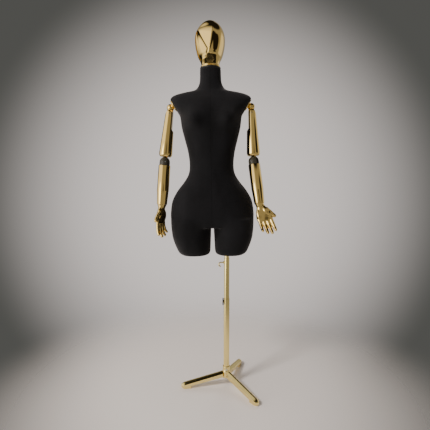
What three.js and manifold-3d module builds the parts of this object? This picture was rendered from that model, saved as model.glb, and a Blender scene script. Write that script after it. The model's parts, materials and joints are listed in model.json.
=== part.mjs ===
// A jointed dress form: a velvet-covered torso on a telescoping tripod stand, with a plated egg head
// and plated arms that turn on ball-and-tang links. Millimetres, +Z up, the form faces -Y.
import * as THREE from 'three';
import { mergeVertices } from 'three/addons/utils/BufferGeometryUtils.js';
import Module from 'manifold-3d';

const wasm = await Module();
wasm.setup();

// ---- Driving dimensions ----
const GAP = 0.3; // left between pieces that touch

const stand = {
  legReach: 226, // pole axis to the tip of a leg
  legWidth: 30,
  legHeightAtHub: 27,
  legHeightAtTip: 21,
  legTopAtHub: 74,
  legTopAtTip: 27,
  legAngles: { left: 188.5, front: 308.5, back: 68.5 },
  ridge: 7, // flat on top of a leg
  shoulderDrop: 9, // from the ridge down to a leg's upright side
  padLength: 42,
  padWidth: 24,
  padInset: 6, // from the leg's tip
  hubRadius: 19,
  hubCollarRadius: 17.5,
  hubBottom: 42,
  hubShoulder: 78,
  hubTop: 101,
  plateThickness: 3,
  boltRadius: 3,
  centreBoltRadius: 4,
  setScrewAbove: 10, // above the hub's shoulder
  setScrewHead: 4.2,
};
const pole = {
  rodRadius: 11,
  wall: 1.3, // of both tubes, each of which fits round what slides in it
  lowerBottom: 56,
  lowerTop: 450,
  midBottom: 190,
  midBelowTorso: 26, // from the thigh ends down to the top of the mid tube
  rodBottom: 400,
  rodInTorso: 138,
  capHeight: 8,
};
const clamp = {
  bossRadius: 6.5,
  upperBossLength: 5,
  lowerBossLength: 1.2,
  screwRadius: 3,
  knobHeight: 35,
  knobWidth: 21,
  knobThickness: 4.5,
  knobBelowTop: 17,
  hookBelowTop: 22,
  hookReach: 21,
  hookDrop: 20,
};
const torso = {
  bottom: 677, // height of the thigh ends
  fromPole: 67.6, // torso axis to pole axis
  lean: 0.7, // degrees, to the form's right
  coverThickness: 1.6,
  shellWall: 17, // thick enough to clear the plain hollow all round
  crotch: 132, // height above the thigh ends
  gapAtCrotch: 12,
  gapAtBottom: 22,
};
const armhole = { out: 170, up: 691, tilt: 29, radius: 52, plate: 4, disc: 4, discRadius: 27 };
const socket = { wall: 2.5, flangeRadius: 30, flange: 4, aboveRod: 12 };
const head = { ringHeight: 9, wall: 4, postRadius: 13, postLength: 34, bushWall: 3, neckPlate: 5 };
const arm = {
  ballRadius: 17,
  ballOut: 17.5, // ball centre out from the armhole's plane
  ballToLift: 30,
  shankRadius: 7,
  shankInside: 24, // past the armhole's plane
  tangThickness: 7,
  tangWidth: 18,
  upperLength: 214,
  topRadius: 20,
  bottomRadius: 30,
  bevel: 10,
  flatDepth: 13,
  flatLength: 88,
  flatRamp: 17,
  liftDepth: 18, // lift pin below the top of the upper arm
  elbowBallRadius: 15,
  elbowBallIn: 15.5, // elbow ball centre above the upper arm's end
  elbowShankRadius: 6,
  elbowShankLength: 40, // up from the ball's centre
  elbowGap: 1.5, // from the elbow ball to the forearm's dome
  domeRadius: 24,
  rimBelowPin: 16, // the forearm's rim round its dome
  foreLength: 196, // bend pin to the wrist
  foreRadius: 27,
  taperAt: 138,
  wristRadius: 23,
  pinRadius: 3,
  pegRadius: 7,
  pegIn: 26,
  pegOut: 18,
};
// Each stretch of a finger, from knuckle to tip: its share of the length, and its thickness there.
const FINGER = [
  { share: 0, thick: 1 }, { share: 0.42, thick: 0.95 }, { share: 0.32, thick: 0.86 },
  { share: 0.22, thick: 0.74 }, { share: 0.06, thick: 0.4 },
];
const hand = {
  palmLength: 82,
  palmWidth: 74,
  palmThickness: 24,
  fingers: [70, 80, 75, 60], // index to little
  fingerRadius: 8.6,
  fan: 7, // degrees between fingers
  curl: 12, // degrees at each knuckle
  thumb: 62,
};

// Half width, front and back of the body at each height above the thigh ends.
const BODY = [
  { z: 0, w: 153, front: 84, back: 86 },
  { z: 7, w: 161, front: 90, back: 92 },
  { z: 17, w: 167, front: 95, back: 97 },
  { z: 51, w: 181, front: 103, back: 109 },
  { z: 79, w: 189.5, front: 107, back: 117 },
  { z: 107, w: 194.5, front: 108, back: 125 },
  { z: 140, w: 197.4, front: 109, back: 134 },
  { z: 174, w: 197.7, front: 110, back: 140 },
  { z: 207, w: 196, front: 109, back: 141 },
  { z: 255, w: 187, front: 106, back: 134 },
  { z: 302, w: 161, front: 100, back: 117 },
  { z: 340, w: 131, front: 92, back: 97 },
  { z: 377, w: 109, front: 85, back: 82 },
  { z: 419, w: 102.9, front: 82, back: 75 },
  { z: 479, w: 109, front: 87, back: 78 },
  { z: 534, w: 122.3, front: 95, back: 86 },
  { z: 589, w: 135.2, front: 103, back: 93 },
  { z: 643, w: 142.5, front: 101, back: 98 },
  { z: 660, w: 154, front: 97, back: 98 },
  { z: 679, w: 172, front: 91, back: 97 },
  { z: 700, w: 184, front: 82, back: 94 },
  { z: 715, w: 188, front: 73, back: 90 },
  { z: 726, w: 183, front: 65, back: 86 },
  { z: 736, w: 168, front: 58, back: 82 },
  { z: 746, w: 128, front: 52, back: 77 },
  { z: 753, w: 84, front: 48, back: 73 },
  { z: 759, w: 70, front: 45, back: 70 },
  { z: 768, w: 61, front: 43, back: 67 },
  { z: 786, w: 52, front: 40, back: 64 },
  { z: 808, w: 48.5, front: 38, back: 63 },
  { z: 859, w: 47.8, front: 36, back: 62 },
];
const neckTop = BODY[BODY.length - 1].z;
const neckY = (BODY[BODY.length - 1].back - BODY[BODY.length - 1].front) / 2;
const BUST = { out: 74, z: 622, spread: 50, rise: 47, proud: 34 };
const SQUARE = 2.4; // a section's exponent: 2 is an ellipse
const WIDEST_Y = 8; // depth at which a body section is widest
// Each ring of a thigh: its height as a share of the crotch's, and how far it follows the trunk.
const DOWN_THE_THIGH = [
  { share: 0.95, follow: 0.85 }, { share: 0.84, follow: 0.6 }, { share: 0.68, follow: 0.3 },
  { share: 0.45, follow: 0.1 }, { share: 0.2, follow: 0 }, { share: 0.11, follow: 0 },
  { share: 0.04, follow: 0 }, { share: 0, follow: 0 },
];
const RING = 20; // points round the body
const STRIP = 3; // points across the crotch, front to back

// Half width, front and back of the head at each height above the neck's top.
const HEAD = [
  { z: 0, w: 41, front: 28, back: 52 },
  { z: 9, w: 40.5, front: 30, back: 54 },
  { z: 20, w: 43, front: 46, back: 60 },
  { z: 31, w: 48, front: 70, back: 68 },
  { z: 38, w: 52, front: 84, back: 73 },
  { z: 46, w: 55.5, front: 90, back: 78 },
  { z: 64, w: 61, front: 93, back: 88 },
  { z: 92, w: 66.6, front: 94, back: 98 },
  { z: 118, w: 68, front: 93, back: 103 },
  { z: 142, w: 64.5, front: 87, back: 100 },
  { z: 164, w: 55, front: 73, back: 89 },
  { z: 181, w: 41, front: 53, back: 69 },
  { z: 192, w: 25, front: 31, back: 44 },
  { z: 198, w: 7, front: 10, back: 14 },
];
const HEAD_RING = 24;

// ---- Sizes that follow from those ----
const midRadius = pole.rodRadius + GAP + pole.wall;
const lowerRadius = midRadius + GAP + pole.wall;
const midTop = torso.bottom - pole.midBelowTorso;
const rodTop = torso.bottom + pole.rodInTorso;
const ballToBend = arm.elbowBallRadius + arm.elbowGap + arm.domeRadius;

// ---- Materials ----
const finish = (color, roughness, metalness) =>
  new THREE.MeshStandardMaterial({ color, roughness, metalness });
const GOLD = () => finish(0xe6c27a, 0.08, 1);
const CAST_GOLD = () => finish(0xd9bd7d, 0.2, 1);
const STEEL = () => finish(0xc4c6c8, 0.25, 1);
const BLACK_PLASTIC = () => finish(0x101012, 0.4, 0);
const VELVET = () => finish(0x141416, 0.95, 0);
const SHELL = () => finish(0x8d877c, 0.8, 0);

// ---- Geometry helpers ----
const rad = THREE.MathUtils.degToRad;

// The closed solid that a geometry bounds.
function solid(geometry) {
  const bare = geometry.index ? geometry.clone() : geometry;
  bare.deleteAttribute('normal');
  bare.deleteAttribute('uv');
  const merged = mergeVertices(bare, 1e-4);
  const vertProperties = new Float32Array(merged.attributes.position.array);
  const triVerts = new Uint32Array(merged.index.array);
  const make = () => new wasm.Manifold(new wasm.Mesh({ numProp: 3, vertProperties, triVerts }));
  const made = make();
  if (made.volume() >= 0) return made;
  for (let i = 0; i < triVerts.length; i += 3) {
    [triVerts[i + 1], triVerts[i + 2]] = [triVerts[i + 2], triVerts[i + 1]];
  }
  return make();
}

function geometryOf(made) {
  const mesh = made.getMesh();
  const geometry = new THREE.BufferGeometry();
  geometry.setAttribute('position', new THREE.BufferAttribute(mesh.vertProperties, 3));
  geometry.setIndex(new THREE.BufferAttribute(mesh.triVerts, 1));
  return geometry;
}

function at(geometry, x = 0, y = 0, z = 0, rx = 0, ry = 0, rz = 0) {
  const turn = new THREE.Euler(rad(rx), rad(ry), rad(rz));
  const matrix = new THREE.Matrix4().makeRotationFromEuler(turn).setPosition(x, y, z);
  return solid(geometry.applyMatrix4(matrix));
}

// A solid of revolution about Z from [radius, z] pairs.
function turned(points, segments = 20) {
  const profile = points.map(([r, z]) => new THREE.Vector2(r, z));
  return new THREE.LatheGeometry(profile, segments).rotateX(Math.PI / 2);
}
const rod = (radius, bottom, top, segments = 20) =>
  turned([[0, bottom], [radius, bottom], [radius, top], [0, top]], segments);
const tube = (outer, inner, bottom, top, segments = 20) =>
  turned([[inner, bottom], [outer, bottom], [outer, top], [inner, top], [inner, bottom]], segments);
const box = (x, y, z) => new THREE.BoxGeometry(x, y, z);
const ball = (radius) => new THREE.SphereGeometry(radius, 14, 8);

const join = (first, ...rest) => rest.reduce((made, next) => made.add(next), first);
const cut = (first, ...rest) => rest.reduce((made, next) => made.subtract(next), first);

function piece(parent, name, shape, material) {
  const geometry = shape.isBufferGeometry ? geometryOf(solid(shape)) : geometryOf(shape);
  geometry.computeVertexNormals();
  const mesh = new THREE.Mesh(geometry, material);
  mesh.name = name;
  parent.add(mesh);
  return mesh;
}

function frame(parent, x = 0, y = 0, z = 0, rx = 0, ry = 0, rz = 0) {
  const group = new THREE.Group();
  group.position.set(x, y, z);
  group.rotation.set(rad(rx), rad(ry), rad(rz));
  parent.add(group);
  return group;
}

// A closed surface through rings of points, with a fan over each end.
function loft(rings) {
  const points = rings.flat();
  const count = rings[0].length;
  const faces = [];
  for (let k = 0; k + 1 < rings.length; k += 1) {
    for (let i = 0; i < count; i += 1) {
      const a = k * count + i;
      const b = k * count + ((i + 1) % count);
      faces.push(a, b, b + count, a, b + count, a + count);
    }
  }
  capEnd(points, faces, indices(0, count), true);
  capEnd(points, faces, indices((rings.length - 1) * count, count), false);
  return surface(points, faces);
}
const indices = (start, count) => Array.from({ length: count }, (_, i) => start + i);

function capEnd(points, faces, loop, facesDown) {
  const middle = new THREE.Vector3();
  loop.forEach((i) => middle.add(points[i]));
  const centre = points.push(middle.divideScalar(loop.length)) - 1;
  loop.forEach((a, i) => {
    const b = loop[(i + 1) % loop.length];
    if (facesDown) faces.push(b, a, centre);
    else faces.push(a, b, centre);
  });
}

function surface(points, faces) {
  const geometry = new THREE.BufferGeometry().setFromPoints(points);
  geometry.setIndex(faces);
  return geometry;
}

// ---- Body surface ----
function station(table, z) {
  const last = table.length - 1;
  let i = table.findIndex((row) => row.z > z) - 1;
  if (i < 0) i = z <= table[0].z ? 0 : last - 1;
  const t = THREE.MathUtils.clamp((z - table[i].z) / (table[i + 1].z - table[i].z), 0, 1);
  const mix = (key) => THREE.MathUtils.lerp(table[i][key], table[i + 1][key], t);
  return { w: mix('w'), front: mix('front'), back: mix('back') };
}

function sectionPoint({ w, front, back }, angle, z, bust = 0) {
  const squared = (share) => Math.sign(share) * Math.abs(share) ** (2 / SQUARE);
  const across = squared(Math.sin(angle));
  const along = squared(Math.cos(angle));
  const depth = along > 0 ? front + WIDEST_Y : back - WIDEST_Y;
  const x = w * across;
  let y = WIDEST_Y - depth * along;
  if (along > 0) {
    const side = (Math.abs(x) - BUST.out) / BUST.spread;
    const high = (z - BUST.z) / BUST.rise;
    y -= bust * Math.exp(-(side ** 2) - high ** 2);
  }
  return new THREE.Vector3(x, y, z);
}

function bodyRing(z) {
  const here = station(BODY, z);
  return indices(0, RING).map((i) =>
    sectionPoint(here, (2 * Math.PI * i) / RING, z, BUST.proud));
}

// The shell's inside is plainer than its outside: one hollow for the trunk.
function hollowShape(wall) {
  const heights = [torso.crotch + 40, 255, 340, 419, 534, 643, 715].filter((z) => z > torso.crotch);
  const rings = heights.map((z) => {
    const { w, front, back } = station(BODY, z);
    const here = { w: w - wall, front: front - wall, back: back - wall };
    return indices(0, 12).map((i) => sectionPoint(here, (Math.PI * i) / 6, z));
  });
  return solid(loft(rings));
}

// One thigh's ring: an oval between the gap and the body's side. side is 1 or -1.
function thighRing(z, side, count) {
  const here = station(BODY, z);
  const gap = THREE.MathUtils.lerp(torso.gapAtBottom, torso.gapAtCrotch, z / torso.crotch) / 2;
  const inset = (BODY[2].w - Math.min(here.w, BODY[2].w)) * 0.8;
  const half = (here.w - gap - inset) / 2;
  const middle = gap + inset + half;
  const first = RING / 4;
  return indices(0, count).map((i) => {
    const angle = Math.PI / 2 + ((i - first) * 2 * Math.PI) / count;
    const point = sectionPoint({ ...here, w: half }, angle, z);
    point.x = side * (point.x + middle);
    return point;
  });
}

// The body's outer surface: full rings down to the crotch, then two thighs joined by a strip.
function bodySurface() {
  const heights = BODY.map((row) => row.z).filter((z) => z > torso.crotch + 2);
  const rings = heights.reverse().map(bodyRing);
  const points = rings.flat();
  const faces = [];
  for (let k = 0; k + 1 < rings.length; k += 1) {
    for (let i = 0; i < RING; i += 1) {
      const a = k * RING + i;
      const b = k * RING + ((i + 1) % RING);
      faces.push(a, b + RING, b, a, a + RING, b + RING);
    }
  }
  capEnd(points, faces, indices(0, RING), false);

  const lowest = (rings.length - 1) * RING;
  const front = points[lowest];
  const back = points[lowest + RING / 2];
  const strip = indices(1, STRIP).map((i) => {
    const t = i / (STRIP + 1);
    const y = THREE.MathUtils.lerp(back.y, front.y, t);
    return points.push(new THREE.Vector3(0, y, torso.crotch + 3 * Math.abs(2 * t - 1))) - 1;
  });
  const half = RING / 2;
  const right = [...indices(lowest, half + 1), ...strip];
  const left = [lowest, ...indices(lowest + half, half).reverse(), ...[...strip]];
  for (const [loop, side] of [[right, 1], [left, -1]]) {
    let above = loop;
    for (const { share, follow } of DOWN_THE_THIGH) {
      const z = share * torso.crotch;
      const ring = thighRing(z, side, loop.length);
      ring.forEach((point, i) => {
        const inner = i > half ? follow * 0.3 : follow;
        point.lerp(points[loop[i]], inner);
        point.z = z;
      });
      const below = ring.map((point) => points.push(point) - 1);
      above.forEach((a, i) => {
        const j = (i + 1) % above.length;
        const quad = [a, above[j], below[j], below[i]];
        if (side < 0) quad.reverse();
        faces.push(quad[0], quad[3], quad[2], quad[0], quad[2], quad[1]);
      });
      above = below;
    }
    capEnd(points, faces, above, side > 0);
  }
  return surface(points, faces);
}

// The same surface moved inwards along its normals.
function inset(geometry, distance) {
  const moved = geometry.clone();
  moved.computeVertexNormals();
  const position = moved.attributes.position;
  const normal = moved.attributes.normal;
  for (let i = 0; i < position.count; i += 1) {
    position.setXYZ(
      i,
      position.getX(i) - distance * normal.getX(i),
      position.getY(i) - distance * normal.getY(i),
      position.getZ(i) - distance * normal.getZ(i),
    );
  }
  return moved;
}

// ---- Stand ----
// A leg lies along +X from the hub. Its top slopes down to a rounded tip.
const legRoot = stand.hubRadius + GAP;
const boltInHub = stand.hubRadius - lowerRadius - GAP;

function legSection(x) {
  const t = THREE.MathUtils.clamp((x - legRoot) / (stand.legReach - legRoot), 0, 1);
  const top = THREE.MathUtils.lerp(stand.legTopAtHub, stand.legTopAtTip, t);
  const tall = THREE.MathUtils.lerp(stand.legHeightAtHub, stand.legHeightAtTip, t);
  return { top, bottom: top - tall };
}

function legShape() {
  const stations = [0, 0.3, 0.6, 0.9, 0.955, 0.985, 1];
  const rings = stations.map((t) => {
    const x = THREE.MathUtils.lerp(legRoot, stand.legReach, t);
    const { top, bottom } = legSection(x);
    const round = Math.sqrt(Math.max(0.12, 1 - (Math.max(0, t - 0.9) / 0.1) ** 2));
    const half = (stand.legWidth / 2) * round;
    const crest = (stand.ridge / 2) * round;
    const drop = bottom + (top - bottom) * (0.55 + 0.45 * round);
    const edge = drop - stand.shoulderDrop * round;
    return [
      [-half, bottom], [half, bottom], [half, edge], [crest, drop], [-crest, drop], [-half, edge],
    ].map(([y, z]) => new THREE.Vector3(x, y, z));
  });
  return loft(rings);
}

function padShape() {
  const outline = new THREE.Shape();
  const end = stand.padWidth / 2;
  const start = stand.legReach - stand.padInset - stand.padLength;
  outline.moveTo(start, -end);
  outline.lineTo(stand.legReach - stand.padInset - end, -end);
  outline.absarc(stand.legReach - stand.padInset - end, 0, end, -Math.PI / 2, Math.PI / 2, false);
  outline.lineTo(start, end);
  outline.closePath();
  const depth = legSection(start).bottom;
  const block = new THREE.ExtrudeGeometry(outline, { depth, bevelEnabled: false, curveSegments: 6 });
  // The leg as it stands and again a little higher clears all of the pad that is above its underside.
  const sweep = [-GAP, 6].map((up) => solid(legShape().translate(0, 0, up)));
  return cut(solid(block), ...sweep);
}

function buildLegs(parent) {
  const boltAt = stand.legTopAtHub - stand.legHeightAtHub * 0.5;
  for (const [name, angle] of Object.entries(stand.legAngles)) {
    const leg = frame(parent, 0, 0, 0, 0, 0, angle);
    const hole = () => at(rod(stand.boltRadius + GAP, -1, 30, 12), legRoot, 0, boltAt, 0, 90, 0);
    piece(leg, `leg_${name}`, cut(solid(legShape()), hole()), CAST_GOLD());
    piece(leg, `foot_pad_${name}`, padShape(), CAST_GOLD());
    const bolt = at(rod(stand.boltRadius, 0, 20, 12), legRoot + 8, 0, boltAt, 0, 90, 0);
    const inHub = at(rod(stand.boltRadius, -boltInHub, 9, 12), legRoot, 0, boltAt, 0, 90, 0);
    piece(leg, `leg_bolt_${name}`, join(bolt, inHub), STEEL());
  }
  return boltAt;
}

function buildBase(parent) {
  const boltAt = buildLegs(parent);
  const bore = () => solid(rod(lowerRadius + GAP, pole.lowerBottom - GAP, 200));
  const body = turned([
    [0, stand.hubBottom], [stand.hubRadius, stand.hubBottom], [stand.hubRadius, stand.hubShoulder],
    [stand.hubCollarRadius, stand.hubShoulder + 3], [stand.hubCollarRadius, stand.hubTop - 2],
    [stand.hubCollarRadius - 1, stand.hubTop], [0, stand.hubTop],
  ]);
  const wells = Object.values(stand.legAngles).map((angle) => wellAt(angle, boltAt));
  const screwZ = stand.hubShoulder + stand.setScrewAbove;
  const screwHole = at(rod(stand.boltRadius + GAP, 0, 30, 12), 0, 0, screwZ, 90, 0, 0);
  const centreRoom = stand.centreBoltRadius + GAP;
  const centreHole = solid(rod(centreRoom, stand.hubBottom - 1, pole.lowerBottom));
  piece(parent, 'hub', cut(solid(body), bore(), screwHole, centreHole, ...wells), CAST_GOLD());

  const reach = stand.hubCollarRadius;
  const screw = join(
    at(rod(stand.boltRadius, lowerRadius + GAP, reach + 1, 12), 0, 0, screwZ, 90, 0, 0),
    at(rod(stand.setScrewHead, reach + 0.5, reach + 3, 12), 0, 0, screwZ, 90, 0, 0),
  );
  const drive = at(rod(1.8, reach + 1.5, reach + 4, 6), 0, 0, screwZ, 90, 0, 0);
  piece(parent, 'hub_set_screw', cut(screw, drive), STEEL());

  const plateTop = stand.hubBottom - GAP;
  const plate = tube(stand.hubRadius - 1, centreRoom, plateTop - stand.plateThickness, plateTop);
  piece(parent, 'hub_bottom_plate', plate, STEEL());
  const headTop = plateTop - stand.plateThickness - GAP;
  const bolt = turned([
    [0, headTop - 5], [stand.centreBoltRadius * 2, headTop - 5], [stand.centreBoltRadius * 2, headTop],
    [stand.centreBoltRadius, headTop], [stand.centreBoltRadius, pole.lowerBottom - 1],
    [0, pole.lowerBottom - 1],
  ], 12);
  piece(parent, 'hub_bottom_bolt', bolt, STEEL());
}

// A blind hole in the hub for one leg's bolt.
function wellAt(angle, z) {
  const bottom = legRoot - boltInHub - GAP / 2;
  const hole = rod(stand.boltRadius + GAP, bottom, stand.hubRadius + 5, 12);
  return at(hole.rotateY(Math.PI / 2), 0, 0, z, 0, 0, angle);
}

// A threaded boss on the form's right side of a tube. It follows the tube's wall.
function bossShape(tubeRadius, length, z) {
  const boss = at(rod(clamp.bossRadius, 0, tubeRadius + length, 16), 0, 0, z, 0, -90, 0);
  const hole = at(rod(clamp.screwRadius + GAP, 0, tubeRadius + 20, 12), 0, 0, z, 0, -90, 0);
  return cut(boss, solid(rod(tubeRadius + GAP, z - 20, z + 20)), hole);
}
const screwHoleAt = (z) => at(rod(clamp.screwRadius + GAP, 0, 30, 12), 0, 0, z, 0, -90, 0);

function buildLowerTube(parent) {
  const knobZ = pole.lowerTop - clamp.knobBelowTop;
  const inner = lowerRadius - pole.wall;
  const wall = solid(tube(lowerRadius, inner, pole.lowerBottom, pole.lowerTop));
  piece(parent, 'lower_tube', cut(wall, screwHoleAt(knobZ)), GOLD());
  piece(parent, 'lower_clamp_boss', bossShape(lowerRadius, clamp.lowerBossLength, knobZ), GOLD());

  const knob = frame(parent, 0, 0, knobZ, 0, -90, 0);
  const face = lowerRadius + clamp.lowerBossLength + GAP;
  const stem = rod(clamp.screwRadius, midRadius + GAP, face + 3, 12);
  piece(knob, 'height_knob_screw', stem, STEEL());
  const outline = new THREE.Shape();
  const straight = (clamp.knobHeight - clamp.knobWidth) / 2;
  outline.absarc(straight, 0, clamp.knobWidth / 2, -Math.PI / 2, Math.PI / 2, false);
  outline.absarc(-straight, 0, clamp.knobWidth / 2, Math.PI / 2, 1.5 * Math.PI, false);
  outline.closePath();
  const depth = clamp.knobThickness;
  const oval = new THREE.ExtrudeGeometry(outline, { depth, bevelEnabled: false, curveSegments: 6 });
  const bore = solid(rod(clamp.screwRadius + GAP, 0, face + 3 + GAP, 12));
  piece(knob, 'height_knob', cut(at(oval, 0, 0, face), bore), BLACK_PLASTIC());
}

function hookShape() {
  const start = pole.rodRadius + GAP;
  const face = midRadius + clamp.upperBossLength;
  const bend = clamp.hookDrop / 2;
  const path = new THREE.CurvePath();
  const v = (x, y, z) => new THREE.Vector3(x, y, z);
  path.add(new THREE.LineCurve3(v(-start, 0, 0), v(-face - clamp.hookReach + bend, 0, 0)));
  const out = -face - clamp.hookReach;
  path.add(new THREE.QuadraticBezierCurve3(v(out + bend, 0, 0), v(out, 0, 0), v(out, 0, -bend)));
  path.add(new THREE.QuadraticBezierCurve3(
    v(out, 0, -bend), v(out, 0, -2 * bend), v(out + bend, 0, -2 * bend)));
  const section = new THREE.Shape();
  section.absarc(0, 0, clamp.screwRadius, 0, 2 * Math.PI, false);
  const options = { steps: 18, extrudePath: path, curveSegments: 5 };
  return new THREE.ExtrudeGeometry(section, options);
}

function buildMidTube(parent) {
  const hookZ = midTop - clamp.hookBelowTop;
  const inner = midRadius - pole.wall;
  const wall = solid(tube(midRadius, inner, pole.midBottom, midTop));
  piece(parent, 'mid_tube', cut(wall, screwHoleAt(hookZ)), GOLD());
  piece(parent, 'upper_clamp_boss', bossShape(midRadius, clamp.upperBossLength, hookZ), GOLD());
  const hook = frame(parent, 0, 0, hookZ);
  piece(hook, 'hook_screw', hookShape(), GOLD());
  const rodEnd = rodTop - pole.capHeight;
  piece(parent, 'spigot_rod', rod(pole.rodRadius, pole.rodBottom, rodEnd), GOLD());
  const cap = turned([
    [0, rodEnd + GAP], [pole.rodRadius, rodEnd + GAP], [pole.rodRadius, rodTop - 3],
    [pole.rodRadius - 3, rodTop], [0, rodTop],
  ]);
  piece(parent, 'spigot_cap', cap, BLACK_PLASTIC());
}

// ---- Torso ----
// The pole's path and its socket, upright in the stand's frame whatever the torso's lean.
function socketShape(clearance, top) {
  return rod(pole.rodRadius + GAP + socket.wall + clearance, torso.bottom - 60, top);
}

function armholeFrame(side) {
  return { x: side * armhole.out, y: 2, z: armhole.up, ry: side * (90 + armhole.tilt) };
}

// A cylinder about the armhole's axis, from one distance to another out of its plane.
function armholeRod(side, radius, from, to, segments = 20) {
  const { x, y, z, ry } = armholeFrame(side);
  return at(rod(radius, from, to, segments), x, y, z, 0, ry, 0);
}

// Where the shoulder ball's centre is, out along the armhole's axis.
function ballCentre(side) {
  const { x, y, z } = armholeFrame(side);
  const tilt = rad(armhole.tilt);
  return { x: x + side * Math.cos(tilt) * arm.ballOut, y, z: z - Math.sin(tilt) * arm.ballOut };
}

function buildTorso(parent) {
  const body = frame(parent, -torso.fromPole, 0, torso.bottom, 0, -torso.lean, 0);
  body.updateMatrixWorld(true);
  const toBody = body.matrixWorld.clone().invert();
  const poleAxis = (geometry) => solid(geometry.applyMatrix4(toBody));

  const outer = bodySurface();
  const lining = inset(outer, torso.coverThickness);
  const core = inset(outer, torso.coverThickness + GAP);
  const socketTop = rodTop + socket.aboveRod;

  const inwards = [-1, 1].map((side) => armholeRod(side, armhole.radius, -armhole.plate - GAP, 60));
  const aboveNeck = at(box(200, 200, 60), 0, 0, neckTop + 30 - head.neckPlate - GAP);
  const flangeRoom = () => poleAxis(rod(socket.flangeRadius + GAP, torso.bottom - 60, torso.bottom + 8));
  const tubeRoom = () => poleAxis(socketShape(GAP, socketTop + GAP));
  const plateRoom = [-1, 1].map((side) => armholeRod(side, arm.shankRadius + 4 + GAP, -40, 1));

  const coverOpenings = [-1, 1].map((side) => armholeRod(side, armhole.radius + GAP, -0.2, 60));
  const cover = cut(solid(outer), solid(lining), ...coverOpenings, flangeRoom(), aboveNeck);
  piece(body, 'velvet_cover', cover, VELVET());

  const socketGrip = poleAxis(rod(socket.flangeRadius, torso.bottom - 60, torso.bottom + 30));
  const inside = cut(hollowShape(torso.shellWall), socketGrip, ...inwards);
  const bushRoom = head.postRadius + head.bushWall + GAP;
  const neckHole = at(rod(bushRoom, neckTop - 60, neckTop + 5), 0, neckY, 0);
  const rooms = [...inwards, ...plateRoom, aboveNeck, neckHole, flangeRoom(), tubeRoom()];
  const shell = cut(solid(core), inside, ...rooms);
  piece(body, 'torso_core', shell, SHELL());

  buildPoleSocket(parent, socketTop);
  buildNeck(body);
  for (const side of [-1, 1]) buildShoulderPlate(body, side, core);
  return body;
}

function buildPoleSocket(parent, top) {
  const grip = pole.rodRadius + GAP;
  const outer = grip + socket.wall;
  const low = torso.bottom + 1;
  const shape = turned([
    [grip, low], [socket.flangeRadius - 1, low], [socket.flangeRadius - 1, low + socket.flange],
    [outer, low + socket.flange], [outer, top], [0, top], [0, top - 3], [grip, top - 3], [grip, low],
  ]);
  piece(parent, 'pole_socket', shape, STEEL());
}

function buildNeck(body) {
  const low = neckTop - head.neckPlate;
  const { w, front, back } = station(BODY, neckTop);
  const plate = new THREE.CylinderGeometry(1, 1, head.neckPlate, 32).rotateX(Math.PI / 2);
  const shape = plate.scale(w - 0.5, (front + back) / 2 - 0.5, 1);
  const hole = solid(rod(head.postRadius + head.bushWall + GAP, -10, 10));
  const seated = cut(solid(shape), hole).translate([0, neckY, low + head.neckPlate / 2]);
  piece(body, 'neck_plate', seated, BLACK_PLASTIC());
  const outer = head.postRadius + head.bushWall;
  const bush = tube(outer, head.postRadius + GAP, low - head.postLength, neckTop);
  piece(body, 'neck_bush', at(bush, 0, neckY, 0), STEEL());
}

function buildShoulderPlate(body, side, core) {
  const name = side < 0 ? 'left' : 'right';
  const slab = armholeRod(side, armhole.radius - GAP, -armhole.plate, -0.2);
  const { x, y, z } = ballCentre(side);
  const seat = at(ball(arm.ballRadius + 1.2), x, y, z);
  const bore = join(armholeRod(side, arm.shankRadius + GAP, -60, 40), seat);
  const plate = cut(solid(inset(core, 0.4)).intersect(slab), bore);
  piece(body, `shoulder_plate_${name}`, plate, BLACK_PLASTIC());
  const disc = cut(armholeRod(side, armhole.discRadius, 0.1, armhole.disc), bore);
  piece(body, `shoulder_disc_${name}`, disc, GOLD());
}

// ---- Head ----
function buildHead(body) {
  const group = frame(body, 0, 0, neckTop + GAP);
  const ringAt = (row, grow) => indices(0, HEAD_RING).map((i) => {
    const angle = (2 * Math.PI * i) / HEAD_RING;
    const along = Math.cos(angle);
    const depth = along > 0 ? row.front + 10 : row.back - 10;
    return new THREE.Vector3((row.w + grow) * Math.sin(angle), 10 - (depth + grow) * along, row.z);
  });
  const rows = HEAD.filter((row) => row.z >= head.ringHeight);
  const shell = loft(rows.map((row) => ringAt(row, 0)));
  const room = rows.filter((row) => row.z > 38 && row.z < 185);
  const cavity = loft(room.map((row) => ringAt(row, -head.wall)));
  const postHole = () => at(rod(head.postRadius + GAP, -5, 60), 0, neckY, 0);
  piece(group, 'head_shell', cut(solid(shell), solid(cavity), postHole()), GOLD());

  const low = HEAD[0];
  const ring = loft([{ ...low, z: 0 }, { ...low, z: head.ringHeight - GAP }].map((row) => ringAt(row, 2)));
  piece(group, 'head_ring', cut(solid(ring), postHole()), GOLD());
  const post = rod(head.postRadius, -head.postLength + 4, 40);
  piece(group, 'head_post', at(post, 0, neckY, 0), STEEL());
}

// ---- Arms ----
// Each link hangs along -Z: a ball, and a flat tang that turns on a pin across Y.
function linkShape(ballRadius, toPin, tangWidth) {
  const tang = cut(
    join(
      at(box(tangWidth, arm.tangThickness, toPin), 0, 0, -toPin / 2),
      at(rod(tangWidth / 2, -arm.tangThickness / 2, arm.tangThickness / 2, 20), 0, 0, -toPin, 90, 0, 0),
    ),
    at(rod(arm.pinRadius + GAP, -20, 20, 12), 0, 0, -toPin, 90, 0, 0),
  );
  return join(solid(ball(ballRadius)), tang);
}

// A slot across a fork for a tang. It is open above the pin.
function slotShape(pinZ, radius, open) {
  const width = arm.tangThickness + 2 * GAP + 0.2;
  return join(
    at(box(120, width, open), 0, 0, pinZ + open / 2),
    at(box(120, width, radius), 0, 0, pinZ - radius / 2 + 0.01),
  );
}

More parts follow.
